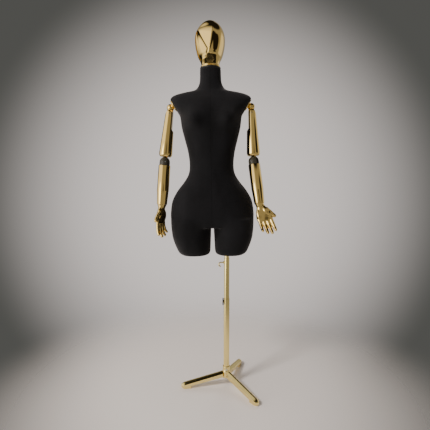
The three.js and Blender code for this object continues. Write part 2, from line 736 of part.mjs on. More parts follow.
function upperArmShape(side) {
  const { upperLength, liftDepth, topRadius, bottomRadius, bevel } = arm;
  const top = liftDepth;
  const end = top - upperLength;
  const limb = solid(turned([
    [0, end], [bottomRadius - bevel * 0.6, end], [bottomRadius, end + bevel],
    [topRadius, top - bevel], [topRadius - bevel * 0.75, top], [0, top],
  ]));
  const reach = 60;
  const flat = new THREE.Shape();
  const face = topRadius - arm.flatDepth + 6;
  flat.moveTo(face, top + 5);
  flat.lineTo(reach, top + 5);
  flat.lineTo(reach, top - arm.flatLength - arm.flatRamp);
  flat.lineTo(face + arm.flatDepth + 4, top - arm.flatLength - arm.flatRamp);
  flat.lineTo(face + 3, top - arm.flatLength);
  flat.closePath();
  const wedge = new THREE.ExtrudeGeometry(flat, { depth: 120, bevelEnabled: false });
  const inner = at(wedge.rotateX(Math.PI / 2).translate(0, 60, 0), 0, 0, 0, 0, 0, side > 0 ? 180 : 0);
  const fork = slotShape(0, 12, top + 10);
  const pin = at(rod(arm.pinRadius + GAP, -40, 40, 12), 0, 0, 0, 90, 0, 0);
  const ballZ = end + arm.elbowBallIn;
  const cup = at(ball(arm.elbowBallRadius + 0.6), 0, 0, ballZ);
  const shank = solid(rod(arm.elbowShankRadius + GAP, ballZ, ballZ + arm.elbowShankLength + 4, 16));
  const mouth = solid(rod(Math.hypot(arm.tangWidth, arm.tangThickness) / 2 + GAP, end - 5, ballZ, 16));
  // The shoulder ball swings round the lift pin, towards the body, in a groove of its own.
  const groove = [0, 15, 30, 45, 60].map((angle) => {
    const swing = rad(side * angle);
    const room = ball(arm.ballRadius + 0.8);
    return at(room, Math.sin(swing) * arm.ballToLift, 0, Math.cos(swing) * arm.ballToLift);
  });
  return cut(limb, inner, fork, pin, cup, shank, mouth, ...groove);
}

function forearmShape() {
  const { domeRadius, foreRadius, foreLength, taperAt, wristRadius } = arm;
  const rim = -arm.rimBelowPin;
  const rows = [[0, -foreLength], [wristRadius - 2, -foreLength], [wristRadius, -foreLength + 2]];
  rows.push([foreRadius - 0.5, -taperAt], [foreRadius, -taperAt + 4], [foreRadius, rim - 1.5]);
  rows.push([foreRadius - 1.5, rim], [domeRadius, rim]);
  const steps = 5;
  for (let i = 0; i <= steps; i += 1) {
    const angle = (i / steps) * (Math.PI / 2);
    rows.push([Math.cos(angle) * domeRadius, Math.sin(angle) * domeRadius]);
  }
  rows[rows.length - 1][0] = 0;
  const limb = solid(turned(rows));
  const fork = slotShape(0, 13, domeRadius + 10);
  const pin = at(rod(arm.pinRadius + GAP, -40, 40, 12), 0, 0, 0, 90, 0, 0);
  const peg = solid(rod(arm.pegRadius + GAP, -foreLength - 5, -foreLength + arm.pegIn + GAP, 16));
  return cut(limb, fork, pin, peg);
}

const pinShape = (radius) =>
  at(rod(arm.pinRadius, -radius, radius, 12), 0, 0, 0, 90, 0, 0);

// A finger from its knuckle, bent by the same angle at each of its joints.
function fingerShape(length, radius, curl) {
  const spot = new THREE.Vector3(0, 0, 6);
  const rings = [];
  let bend = curl * 0.4;
  FINGER.forEach(({ share, thick }) => {
    const along = new THREE.Vector3(0, -Math.sin(rad(bend)), -Math.cos(rad(bend)));
    spot.addScaledVector(along, share * length);
    const side = new THREE.Vector3(0, -Math.cos(rad(bend)), Math.sin(rad(bend)));
    rings.push(indices(0, 8).map((i) => {
      const angle = (2 * Math.PI * i) / 8;
      const point = spot.clone().addScaledVector(side, radius * thick * Math.cos(angle));
      point.x += radius * thick * Math.sin(angle);
      return point;
    }));
    bend += curl;
  });
  return solid(loft(rings));
}

// The hand hangs along -Z with its palm towards -Y and its thumb towards +X. It is cast with its
// wrist bent by tilt degrees towards +X.
function handShape(tilt) {
  const { palmLength, palmWidth, palmThickness, fingerRadius, fan, curl } = hand;
  const low = -palmLength;
  const ring = (z, half, deep, shift) => indices(0, 12).map((i) => {
    const angle = (2 * Math.PI * i) / 12;
    return new THREE.Vector3(shift + half * Math.sin(angle), -deep * Math.cos(angle), z);
  });
  const palm = loft([
    ring(low - 4, palmWidth / 2 - 5, 8, 0), ring(low + 12, palmWidth / 2, palmThickness / 2, 1),
    ring(-38, 30, 14, 2), ring(-16, 19, 15, 0), ring(-2, 18, 17, 0),
  ]);
  const parts = [solid(palm)];
  hand.fingers.forEach((length, i) => {
    const across = 1.5 - i;
    const bone = fingerShape(length, fingerRadius - (i === 3 ? 1 : 0), curl);
    const x = (across * (palmWidth - 18)) / 3;
    parts.push(bone.rotate([0, -across * fan, 0]).translate([x, 0, low + 6 - Math.abs(across)]));
  });
  const thumb = fingerShape(hand.thumb, fingerRadius + 1.5, curl);
  parts.push(thumb.rotate([12, -38, 0]).translate([22, -4, -36]));
  const bent = join(...parts).rotate([0, -tilt, 0]);
  const cuff = arm.wristRadius - 1;
  const top = solid(turned([[0, -24], [cuff - 6, -24], [cuff - 1, -14], [cuff, 0], [0, 0]]));
  const pegHole = solid(rod(arm.pegRadius + GAP, -arm.pegOut - GAP, 2, 16));
  const above = at(box(100, 100, 40), 0, 0, 20);
  return cut(join(bent, top), pegHole, above);
}

// How each arm hangs, in degrees: out from the side and forward at the shoulder, then the turn of
// the elbow ball, the bend at the elbow, the turn at the wrist and the tilt of the cast hand.
const POSE = {
  left: { side: -1, out: 7, forward: 6, elbowTurn: 12, bend: -2.4, wristTurn: 68, tilt: 2 },
  right: { side: 1, out: 2, forward: 7, elbowTurn: -48, bend: 6.5, wristTurn: -4, tilt: 11 },
};

function buildArm(body, name) {
  const { side, out, forward, elbowTurn, bend, wristTurn, tilt } = POSE[name];
  const plateTurn = side * (90 + armhole.tilt);
  const { x, y, z } = ballCentre(side);

  // The link's shank lies along the plate's axis, seen from the hanging arm's own frame.
  const hanging = frame(body, x, y, z, -forward, side * -out, 0);
  const unturned = new THREE.Matrix4().makeRotationFromEuler(hanging.rotation).transpose();
  const upright = rod(arm.shankRadius, -arm.ballOut - arm.shankInside, 0, 16);
  const shank = upright.rotateY(rad(plateTurn)).applyMatrix4(unturned);
  const shoulderLink = linkShape(arm.ballRadius, arm.ballToLift, arm.tangWidth);
  piece(hanging, `shoulder_link_${name}`, join(shoulderLink, solid(shank)), GOLD());

  const upper = frame(hanging, 0, 0, -arm.ballToLift);
  piece(upper, `upper_arm_${name}`, upperArmShape(side), GOLD());
  piece(upper, `shoulder_pin_${name}`, pinShape(arm.topRadius - 5), STEEL());

  const ballZ = arm.liftDepth - arm.upperLength + arm.elbowBallIn;
  const elbow = frame(upper, 0, 0, ballZ, 0, 0, elbowTurn);
  const elbowShank = solid(rod(arm.elbowShankRadius, 0, arm.elbowShankLength, 16));
  const elbowLink = linkShape(arm.elbowBallRadius, ballToBend, arm.tangWidth);
  piece(elbow, `elbow_link_${name}`, join(elbowLink, elbowShank), GOLD());

  const fore = frame(elbow, 0, 0, -ballToBend, 0, side * -bend, 0);
  piece(fore, `forearm_${name}`, forearmShape(), GOLD());
  piece(fore, `elbow_pin_${name}`, pinShape(arm.domeRadius - 1.5), STEEL());

  const wrist = frame(fore, 0, 0, -arm.foreLength - GAP, 0, 0, wristTurn - elbowTurn);
  piece(wrist, `wrist_peg_${name}`, rod(arm.pegRadius, -arm.pegOut, arm.pegIn, 16), STEEL());
  const cast = handShape(tilt);
  piece(wrist, `hand_${name}`, side < 0 ? cast.mirror([1, 0, 0]) : cast, GOLD());
}

// ---- Assembly ----
const form = new THREE.Group();
const standFrame = frame(form);
buildBase(standFrame);
buildLowerTube(standFrame);
buildMidTube(standFrame);
const body = buildTorso(standFrame);
buildHead(body);
buildArm(body, 'left');
buildArm(body, 'right');

// The origin is under the middle of the whole form, on the floor.
form.updateMatrixWorld(true);
const whole = new THREE.Box3().setFromObject(form, true);
standFrame.position.x = -(whole.min.x + whole.max.x) / 2;
standFrame.position.y = -(whole.min.y + whole.max.y) / 2;
standFrame.position.z = -whole.min.z;

export default form;
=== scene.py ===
"""Dresses the jointed display form: a velvet sleeve, mirror-gold head and arms, and a gold stand."""

import json
import math

import bmesh
import bpy
from mathutils import Matrix, Vector


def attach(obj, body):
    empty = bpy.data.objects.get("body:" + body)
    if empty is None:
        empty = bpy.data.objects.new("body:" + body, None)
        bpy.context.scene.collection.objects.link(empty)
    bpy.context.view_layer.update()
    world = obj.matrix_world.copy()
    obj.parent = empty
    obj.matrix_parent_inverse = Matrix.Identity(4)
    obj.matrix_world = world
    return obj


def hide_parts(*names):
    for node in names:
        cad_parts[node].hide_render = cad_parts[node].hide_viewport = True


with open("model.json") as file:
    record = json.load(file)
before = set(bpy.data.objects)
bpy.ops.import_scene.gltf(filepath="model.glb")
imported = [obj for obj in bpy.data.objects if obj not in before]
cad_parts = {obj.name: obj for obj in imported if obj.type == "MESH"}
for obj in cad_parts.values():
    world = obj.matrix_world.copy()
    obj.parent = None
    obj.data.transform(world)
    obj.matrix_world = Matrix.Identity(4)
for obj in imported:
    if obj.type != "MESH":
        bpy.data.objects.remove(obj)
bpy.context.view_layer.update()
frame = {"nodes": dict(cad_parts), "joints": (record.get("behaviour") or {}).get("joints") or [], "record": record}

bl_info = {
    "name": "Velvet Display Form",
    "version": (1, 0, 0),
    "blender": (4, 5, 0),
    "location": "View3D > Sidebar > Display Form",
    "description": "Builds the sleeve, head, arms and stand of a jointed display form",
    "category": "Object",
}

JOINTS = {joint["name"]: joint for joint in frame["joints"]}
POLE = Vector(JOINTS["torso_swivel"]["pos_m"])
MM = 0.001
MIDDLE_FROM_POLE = 0.0676  # from the form's middle to the pole
SEAM_LEAN = 0.0122  # sideways for each unit of height
THIGH_ENDS = 0.677  # height above the floor
NECK_TOP = 0.859  # above the thigh ends
ARMHOLE = (0.170, 0.002, 0.691)  # on the left side; the right one mirrors it

# Torso sections: height above the thigh ends, half width, front and back depth, in millimetres.
BODY = [
    (0, 153, 84, 86),
    (7, 161, 90, 92),
    (17, 167, 95, 97),
    (51, 181, 103, 109),
    (79, 189.5, 107, 117),
    (107, 194.5, 108, 125),
    (140, 197.4, 109, 134),
    (174, 197.7, 110, 140),
    (207, 196, 109, 141),
    (255, 187, 106, 134),
    (302, 161, 100, 117),
    (340, 131, 92, 97),
    (377, 109, 85, 82),
    (419, 102.9, 82, 75),
    (479, 109, 87, 78),
    (534, 122.3, 95, 86),
    (589, 135.2, 103, 93),
    (643, 142.5, 101, 98),
    (660, 154, 97, 98),
    (679, 172, 91, 97),
    (700, 184, 82, 94),
    (715, 188, 73, 90),
    (726, 183, 65, 86),
    (736, 168, 58, 82),
    (746, 128, 52, 77),
    (753, 84, 48, 73),
    (759, 70, 45, 70),
    (768, 61, 43, 67),
    (786, 52, 40, 64),
    (808, 48.5, 38, 63),
    (859, 47.8, 36, 62),
]
# Head sections above the neck's top, in the same order.
HEAD = [
    (9, 40.5, 30, 54),
    (20, 43, 46, 60),
    (31, 48, 70, 68),
    (38, 52, 84, 73),
    (46, 55.5, 90, 78),
    (64, 61, 93, 88),
    (92, 66.6, 94, 98),
    (118, 68, 93, 103),
    (142, 64.5, 87, 100),
    (164, 55, 73, 89),
    (181, 41, 53, 69),
    (192, 25, 31, 44),
    (198, 7, 10, 14),
]


# ---- Settings ----


class FormSettings(bpy.types.PropertyGroup):
    """Sizes and colours of the display form."""

    velvet_color: bpy.props.FloatVectorProperty(
        name="Velvet", description="Colour of the pile", subtype="COLOR", default=(0.0042, 0.0040, 0.0046)
    )
    gold_color: bpy.props.FloatVectorProperty(
        name="Mirror gold", description="Colour of the plated parts", subtype="COLOR",
        default=(1.0, 0.73, 0.25),
    )
    tube_color: bpy.props.FloatVectorProperty(
        name="Stand gold", description="Colour of the plated stand", subtype="COLOR",
        default=(0.95, 0.78, 0.32),
    )
    voxel: bpy.props.FloatProperty(
        name="Sleeve mesh", description="Size of a cell of the sleeve's mesh", unit="LENGTH", default=0.0045
    )
    hand_voxel: bpy.props.FloatProperty(
        name="Hand mesh", description="Size of a cell of a hand's mesh", unit="LENGTH", default=0.0014
    )
    crotch: bpy.props.FloatProperty(
        name="Crotch", description="Height of the crotch above the thigh ends", unit="LENGTH", default=0.132
    )
    armhole_tilt: bpy.props.FloatProperty(
        name="Armhole tilt", description="Lean of an armhole's plane", subtype="ANGLE",
        default=math.radians(29),
    )


class StageSettings(bpy.types.PropertyGroup):
    """Camera, floor and light."""

    distance: bpy.props.FloatProperty(
        name="Distance", description="Camera to the pole's axis", unit="LENGTH", default=1.75
    )
    eye: bpy.props.FloatProperty(name="Eye height", description="Camera height", unit="LENGTH", default=1.075)
    pitch: bpy.props.FloatProperty(
        name="Pitch", description="How far the camera looks down", subtype="ANGLE", default=math.radians(7)
    )
    lens: bpy.props.FloatProperty(name="Lens", description="Focal length in millimetres", default=30.98)
    aside: bpy.props.FloatProperty(
        name="Aside", description="Pole's axis right of the camera's middle", unit="LENGTH", default=0.057
    )
    wall_color: bpy.props.FloatVectorProperty(
        name="Backdrop", description="Colour behind the form", subtype="COLOR", default=(0.86, 0.79, 0.755)
    )
    shade_color: bpy.props.FloatVectorProperty(
        name="Backdrop's shade", description="Colour away from the form", subtype="COLOR",
        default=(0.085, 0.085, 0.078),
    )


# ---- Shader maths ----


class Value:
    """A shader socket that can be used in Python sums."""

    def __init__(self, graph, socket):
        self.graph = graph
        self.socket = socket

    def _math(self, operation, a, b):
        return self.graph.node("ShaderNodeMath", {"operation": operation}, {0: a, 1: b})

    def __add__(self, other):
        return self._math("ADD", self, other)

    __radd__ = __add__

    def __sub__(self, other):
        return self._math("SUBTRACT", self, other)

    def __rsub__(self, other):
        return self._math("SUBTRACT", other, self)

    def __mul__(self, other):
        return self._math("MULTIPLY", self, other)

    __rmul__ = __mul__


class Graph:
    """The node tree of one material, or of the world."""

    def __init__(self, tree):
        self.tree = tree
        tree.nodes.clear()

    def node(self, kind, settings=None, inputs=None, output=0):
        """Add a node with its settings and inputs, and return the output asked for."""
        made = self.tree.nodes.new(kind)
        for name, setting in (settings or {}).items():
            if name == "stops":
                self._stops(made.color_ramp, setting)
            else:
                setattr(made, name, setting)
        for key, given in (inputs or {}).items():
            if isinstance(given, Value):
                self.tree.links.new(given.socket, made.inputs[key])
            else:
                made.inputs[key].default_value = given
        return Value(self, made.outputs[output]) if made.outputs else made

    @staticmethod
    def _stops(ramp, stops):
        while len(ramp.elements) < len(stops):
            ramp.elements.new(1.0)
        for element, (place, color) in zip(ramp.elements, stops):
            element.position = place
            element.color = color

    def place(self, scale=(1, 1, 1)):
        """The object's own coordinates, stretched."""
        where = self.node("ShaderNodeTexCoord", output="Object")
        return self.node("ShaderNodeMapping", inputs={"Vector": where, "Scale": scale})

    def noise(self, scale, detail=2.0, stretch=(1, 1, 1), roughness=0.5):
        """Noise from 0 to 1 over the object's own coordinates."""
        inputs = {"Vector": self.place(stretch), "Scale": scale, "Detail": detail, "Roughness": roughness}
        return self.node("ShaderNodeTexNoise", inputs=inputs)

    def mix(self, factor, a, b):
        """One of two colours, or a blend of them."""
        return self.node("ShaderNodeMix", {"data_type": "RGBA"}, {0: factor, 6: a, 7: b}, 2)

    def bump(self, height, strength, distance):
        """Normals that follow a height."""
        inputs = {"Height": height, "Strength": strength, "Distance": distance}
        return self.node("ShaderNodeBump", inputs=inputs)

    def surface(self, **inputs):
        """Finish a material with a Principled shader, its inputs named with underscores."""
        named = {key.replace("_", " "): given for key, given in inputs.items()}
        shader = self.node("ShaderNodeBsdfPrincipled", inputs=named)
        self.node("ShaderNodeOutputMaterial", inputs={"Surface": shader})


def new_material(name):
    """A material, and its emptied node tree."""
    made = bpy.data.materials.new(name)
    made.use_nodes = True
    return made, Graph(made.node_tree)


def rgba(color, scale=1.0):
    """A colour with full alpha, made lighter or darker."""
    return (color[0] * scale, color[1] * scale, color[2] * scale, 1.0)


def velvet_material(color):
    """Short black pile: brushed patches a hand wide, and a fine nap."""
    made, graph = new_material("velvet")
    patches = graph.noise(9.0, 3.0, (1.0, 1.0, 0.45))
    nap = graph.noise(900.0, 2.0)
    lint = graph.noise(160.0, 4.0, (1.0, 1.0, 0.6), 0.7)
    shade = patches * 0.7 + lint * 0.3
    tone = graph.node(
        "ShaderNodeValToRGB", {"stops": [(0.36, rgba(color, 0.45)), (0.62, rgba(color, 2.0))]}, {0: shade}
    )
    across = graph.node("ShaderNodeSeparateXYZ", inputs={0: graph.place()})
    height = graph.node("ShaderNodeSeparateXYZ", inputs={0: graph.place()}, output=2)
    from_seam = across - (POLE.x - MIDDLE_FROM_POLE) + SEAM_LEAN * (height - THIGH_ENDS)
    off = graph.node("ShaderNodeMath", {"operation": "ABSOLUTE"}, {0: from_seam})
    off = off + 0.0008 * graph.noise(60.0, 2.0)
    smooth = {"interpolation_type": "SMOOTHSTEP"}
    seam = graph.node("ShaderNodeMapRange", smooth, {0: off, 1: 0.0026, 2: 0.0006})
    tone = graph.mix(seam * 0.6, tone, rgba(color, 0.25))
    graph.surface(
        Base_Color=tone,
        Roughness=0.78 + 0.18 * lint,
        Specular_IOR_Level=0.22,
        Sheen_Weight=0.2,
        Sheen_Roughness=0.42,
        Sheen_Tint=(0.72, 0.68, 0.70, 1.0),
        Normal=graph.bump(nap * 0.6 + lint * 0.8 - seam * 1.5, 0.5, 0.0006),
    )
    return made


def plated_material(name, color, rough, ripple, grain):
    """Bright plating. Ripple is the moulding's waviness under it, grain the casting's skin."""
    made, graph = new_material(name)
    cloud = graph.noise(14.0, 4.0)
    smear = graph.noise(60.0, 5.0, (1.0, 1.0, 0.25), 0.65)
    tone = graph.mix(cloud, rgba(color, 0.93), rgba(color, 1.04))
    spots = graph.node(
        "ShaderNodeValToRGB", {"stops": [(0.55, (0, 0, 0, 1)), (0.8, (1, 1, 1, 1))]}, {0: smear}
    )
    skin = graph.noise(420.0, 3.0)
    height = graph.noise(22.0, 1.0) * ripple + skin * grain
    graph.surface(
        Base_Color=tone,
        Metallic=1.0,
        Roughness=rough + 0.10 * spots,
        Normal=graph.bump(height, 0.35, 0.001),
    )
    return made


def plastic_material(name, color, rough):
    """Plastic with a faint mottle."""
    made, graph = new_material(name)
    grain = graph.noise(500.0, 3.0)
    tone = graph.mix(graph.noise(40.0, 3.0), rgba(color, 0.8), rgba(color, 1.25))
    graph.surface(Base_Color=tone, Roughness=rough + 0.12 * grain, Normal=graph.bump(grain, 0.25, 0.0003))
    return made


def steel_material():
    """Bare steel with fine turning lines."""
    made, graph = new_material("steel")
    lines = graph.noise(300.0, 2.0, (1.0, 1.0, 0.08))
    tone = graph.mix(lines, (0.52, 0.53, 0.54, 1), (0.74, 0.75, 0.76, 1))
    normal = graph.bump(lines, 0.15, 0.0002)
    graph.surface(Base_Color=tone, Metallic=1.0, Roughness=0.2 + 0.15 * lines, Normal=normal)
    return made


# ---- Mesh helpers ----


def turned(profile, steps=72, matrix=None):
    """A solid of revolution about Z, from (radius, height) pairs in millimetres."""
    bm = bmesh.new()
    verts = [bm.verts.new((r * MM, 0, z * MM)) for r, z in profile]
    edges = [bm.edges.new(pair) for pair in zip(verts, verts[1:])]
    bmesh.ops.spin(
        bm, geom=verts + edges, cent=(0, 0, 0), axis=(0, 0, 1), angle=math.tau, steps=steps, use_merge=True
    )
    bmesh.ops.remove_doubles(bm, verts=bm.verts, dist=1e-6)
    if matrix:
        bmesh.ops.transform(bm, matrix=matrix, verts=bm.verts)
    bmesh.ops.recalc_face_normals(bm, faces=bm.faces)
    return bm


def block(x, y, z, matrix=None):
    """A box of the given size in millimetres, round the origin."""
    bm = bmesh.new()
    bmesh.ops.create_cube(bm, size=1.0, matrix=Matrix.Diagonal((x * MM, y * MM, z * MM, 1)))
    if matrix:
        bmesh.ops.transform(bm, matrix=matrix, verts=bm.verts)
    return bm


def cylinder(radius, bottom, top, matrix=None, steps=48):
    """An upright cylinder between two heights in millimetres."""
    return turned([(0, bottom), (radius, bottom), (radius, top), (0, top)], steps, matrix)


def merged(*parts):
    """One bmesh that holds them all."""
    whole = bmesh.new()
    for part in parts:
        mesh = bpy.data.meshes.new("part")
        part.to_mesh(mesh)
        part.free()
        whole.from_mesh(mesh)
        bpy.data.meshes.remove(mesh)
    return whole


def new_object(name, bm):
    """An object in the scene, made from a bmesh."""
    mesh = bpy.data.meshes.new(name)
    bm.to_mesh(mesh)
    bm.free()
    made = bpy.data.objects.new(name, mesh)
    bpy.context.collection.objects.link(made)
    return made


def bake_modifiers(obj):
    """Puts the modifiers' result into the mesh and takes them off."""
    graph = bpy.context.evaluated_depsgraph_get()
    mesh = bpy.data.meshes.new_from_object(obj.evaluated_get(graph))
    old = obj.data
    obj.modifiers.clear()
    obj.data = mesh
    bpy.data.meshes.remove(old)


def boolean(bm, others, operation="DIFFERENCE"):
    """The bmesh joined with or cut by others."""
    obj = new_object("work", bm)
    tools = [new_object("tool", other) for other in others]
    for tool in tools:
        step = obj.modifiers.new("cut", "BOOLEAN")
        step.operation = operation
        step.solver = "EXACT"
        step.object = tool
    bake_modifiers(obj)
    result = bmesh.new()
    result.from_mesh(obj.data)
    for used in [obj, *tools]:
        mesh = used.data
        bpy.data.objects.remove(used)
        bpy.data.meshes.remove(mesh)
    bmesh.ops.remove_doubles(result, verts=result.verts, dist=2e-6)
    bmesh.ops.dissolve_degenerate(result, edges=result.edges, dist=2e-6)
    return result


def fused(bm, cell, smooths):
    """Melts overlapping closed shapes into one skin, then relaxes it."""
    obj = new_object("work", bm)
    step = obj.modifiers.new("skin", "REMESH")
    step.mode = "VOXEL"
    step.voxel_size = cell
    bake_modifiers(obj)
    result = bmesh.new()
    result.from_mesh(obj.data)
    mesh = obj.data
    bpy.data.objects.remove(obj)
    bpy.data.meshes.remove(mesh)
    for _ in range(smooths):
        bmesh.ops.smooth_vert(
            result, verts=result.verts, factor=0.5, use_axis_x=True, use_axis_y=True, use_axis_z=True
        )
    return result


def finished(name, bm, body, nodes, material, matrix=None, sharp=32.0, bevel=0.0):
    """A piece of the form, in its place, riding on its body."""
    if matrix:
        bmesh.ops.transform(bm, matrix=matrix, verts=bm.verts)
    limit = math.radians(sharp)
    for face in bm.faces:
        face.smooth = True
    for edge in bm.edges:
        edge.smooth = len(edge.link_faces) == 2 and edge.calc_face_angle(0.0) < limit
    obj = new_object(name, bm)
    obj.data.materials.clear()
    obj.data.materials.append(material)
    if bevel:
        step = obj.modifiers.new("rounded edges", "BEVEL")
        step.width = bevel * MM
        step.segments = 2
        step.limit_method = "ANGLE"
        step.angle_limit = limit
        step.harden_normals = True
        for edge in obj.data.edges:
            edge.use_edge_sharp = False
        bake_modifiers(obj)
    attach(obj, body)
    if nodes:
        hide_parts(*nodes)
    return obj


def axes_at(origin, up, across):
    """A frame at origin with Z along up and Y nearest to across."""
    z = Vector(up).normalized()
    y = Vector(across)
    y = (y - z * y.dot(z)).normalized()
    x = y.cross(z)
    turn_to = Matrix((x, y, z)).transposed().to_4x4()
    return Matrix.Translation(Vector(origin)) @ turn_to


def shifted(x=0.0, y=0.0, z=0.0):
    """A move by millimetres."""
    return Matrix.Translation((x * MM, y * MM, z * MM))


def lying(angle=0.0):
    """Turns a piece made along Z so that it lies along Y, then turns it about Z."""
    return Matrix.Rotation(angle, 4, "Z") @ Matrix.Rotation(math.pi / 2, 4, "X")


def limb_frame(origin, along, pin, side):
    """The frame of an arm's piece: Z up along the limb, Y along its pin."""
    up = Vector(JOINTS[along]["axis"])
    up = up if up.z > 0 else -up
    across = Vector(JOINTS[pin]["axis"]) * -side
    return axes_at(JOINTS[origin]["pos_m"], up, across)


def torso_frame():
    """The torso's own frame in the scene."""
    lean = math.radians(0.7)
    place = Matrix.Translation((POLE.x - MIDDLE_FROM_POLE, POLE.y, THIGH_ENDS))
    return place @ Matrix.Rotation(-lean, 4, "Y")


def between(rows, z):
    """Half width, front and back at a height, on a smooth curve through the table's rows."""
    last = len(rows) - 1
    i = max((k for k, row in enumerate(rows) if row[0] <= z), default=0)
    i = min(i, last - 1)
    low, high = rows[i], rows[i + 1]
    span = high[0] - low[0]
    t = min(max((z - low[0]) / span, 0.0), 1.0)
    found = []
    for k in (1, 2, 3):
        before = rows[max(i - 1, 0)]
        after = rows[min(i + 2, last)]
        slope_low = (high[k] - before[k]) / (high[0] - before[0]) * span
        slope_high = (after[k] - low[k]) / (after[0] - low[0]) * span
        step = high[k] - low[k]
        if step * slope_low <= 0:
            slope_low = 0.0
        if step * slope_high <= 0:
            slope_high = 0.0
        slope_low = math.copysign(min(abs(slope_low), 3 * abs(step)), step)
        slope_high = math.copysign(min(abs(slope_high), 3 * abs(step)), step)
        a = 2 * t**3 - 3 * t**2 + 1
        b = t**3 - 2 * t**2 + t
        c = -2 * t**3 + 3 * t**2
        d = t**3 - t**2
        found.append(a * low[k] + b * slope_low + c * high[k] + d * slope_high)
    return found


def lofted(rings, closed_ends=True):
    """A skin over rings of points given in millimetres."""
    bm = bmesh.new()
    loops = [[bm.verts.new(Vector(point) * MM) for point in ring] for ring in rings]
    for low, high in zip(loops, loops[1:]):
        for i, vert in enumerate(low):
            j = (i + 1) % len(low)
            bm.faces.new((vert, low[j], high[j], high[i]))
    if closed_ends:
        for loop in (loops[0], loops[-1]):
            bm.faces.new(loop)
    bmesh.ops.recalc_face_normals(bm, faces=bm.faces)
    return bm


# ---- Sleeve ----

SQUARE = 2.4  # 2 would make a section an ellipse
WIDEST = 8.0  # depth of a section's widest place
BUST = {"out": 80.0, "z": 619.0, "spread": 46.0, "above": 50.0, "below": 37.0, "proud": 40.0}


def section_ring(half, front, back, z, count, middle=0.0, bust=True):
    """One level section of the body, as a ring of points."""
    ring = []
    for i in range(count):
        angle = math.tau * i / count
        across, along = math.sin(angle), math.cos(angle)
        across = math.copysign(abs(across) ** (2 / SQUARE), across)
        along = math.copysign(abs(along) ** (2 / SQUARE), along)
        depth = front + WIDEST if along > 0 else back - WIDEST
        x = half * across
        y = WIDEST - depth * along
        if bust and along > 0:
            side = (abs(x) - BUST["out"]) / BUST["spread"]
            rise = z - BUST["z"]
            high = rise / (BUST["above"] if rise > 0 else BUST["below"])
            y -= BUST["proud"] * math.exp(-(side**2) - high**2)
        ring.append((x + middle, y, z))
    return ring


def trunk_shape(crotch):
    """The trunk from hips to neck."""
    heights = [crotch + 2, crotch + 10, crotch + 20]
    z = crotch + 32
    while z < BODY[-1][0]:
        heights.append(z)
        z += 6.0
    heights.append(BODY[-1][0])
    return lofted([section_ring(*between(BODY, z), z, 120) for z in heights])


def thigh_shape(side, crotch):
    """One thigh, down to its cut end."""
    rings = []
    steps = 30
    for k in range(steps + 1):
        z = (crotch + 40) * k / steps
        half, front, back = between(BODY, z)
        t = min(z / crotch, 1.0)
        gap = 11 - 5.5 * t
        edge = 7.0 * max(0.0, 1 - z / 10.0) ** 2
        width = (half - gap) / 2 - edge * 0.4
        middle = side * (gap + (half - gap) / 2)
        rings.append(section_ring(width, front, back, z, 72, middle, bust=False))
    return lofted(rings)


def torso_surface(settings, inwards=0.0):
    """The torso's skin, open at the neck and the armholes, or one a little way inside it."""
    crotch = settings.crotch / MM
    parts = [trunk_shape(crotch), thigh_shape(1, crotch), thigh_shape(-1, crotch)]
    bm = fused(merged(*parts), settings.voxel, 10)
    level = [v for v in bm.verts if abs(v.co.z - settings.crotch - 0.004) < 0.045 and abs(v.co.x) > 0.03]
    for _ in range(70):
        bmesh.ops.smooth_vert(bm, verts=level, factor=0.5, use_axis_x=True, use_axis_y=True, use_axis_z=False)
    bm.normal_update()
    for vert, normal in [(vert, vert.normal.copy()) for vert in bm.verts]:
        vert.co -= normal * inwards
    tilt = settings.armhole_tilt
    for side in (-1, 1):
        near = [v for v in bm.verts if v.co.x * side > 0.115 and v.co.z > 0.640]
        edges = {e for v in near for e in v.link_edges}
        faces = {f for v in near for f in v.link_faces}
        bmesh.ops.bisect_plane(
            bm,
            geom=near + list(edges) + list(faces),
            dist=1e-6,
            plane_co=(side * ARMHOLE[0], *ARMHOLE[1:]),
            plane_no=(side * math.cos(tilt), 0, -math.sin(tilt)),
            clear_outer=True,
        )
    everything = bm.verts[:] + bm.edges[:] + bm.faces[:]
    bmesh.ops.bisect_plane(
        bm, geom=everything, dist=1e-6, plane_co=(0, 0, NECK_TOP - 0.0055), plane_no=(0, 0, 1),
        clear_outer=True,
    )
    return bm


def cut_flange_hole(bm, radius):
    """Opens the thigh's underside round the pole's flange."""
    centre = torso_frame().inverted() @ Vector((POLE.x, POLE.y, THIGH_ENDS))
    under = [f for f in bm.faces if f.normal.z < -0.3 and f.calc_center_median().z < 0.012]
    gone = [f for f in under if (f.calc_center_median() - centre).xy.length < radius]
    bmesh.ops.delete(bm, geom=gone, context="FACES")
    rim = {v for e in bm.edges if e.is_boundary for v in e.verts}
    for vert in rim:
        away = vert.co.xy - centre.xy
        if vert.co.z < 0.02 and away.length < radius * 1.4:
            away = away.normalized() * radius
            vert.co.x, vert.co.y = centre.x + away.x, centre.y + away.y


def area_of(bm):
    """The total area of all faces."""
    return sum(face.calc_area() for face in bm.faces)


class FORM_OT_sleeve(bpy.types.Operator):
    """Build the velvet sleeve that is stretched over the torso."""

    bl_idname = "form.sleeve"
    bl_label = "Velvet Sleeve"

    def execute(self, context):
        settings = context.scene.display_form
        core = torso_surface(settings, 0.0021)
        cut_flange_hole(core, 0.0305)
        finished(
            "moulded_core", core, "torso", ["torso_core"], MATERIALS["shell"], torso_frame(),
            sharp=60,
        )
        bm = torso_surface(settings)
        cut_flange_hole(bm, 0.0305)
        area = area_of(bm)
        obj = finished(
            "velvet_sleeve", bm, "torso", ["velvet_cover"],
            velvet_material(settings.velvet_color), torso_frame(), sharp=60,
        )
        step = obj.modifiers.new("cloth thickness", "SOLIDIFY")
        step.thickness = 0.0016
        step.offset = -1.0
        bake_modifiers(obj)
        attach(obj, "torso")
        area / 1.04
        return {"FINISHED"}


# ---- Head ----


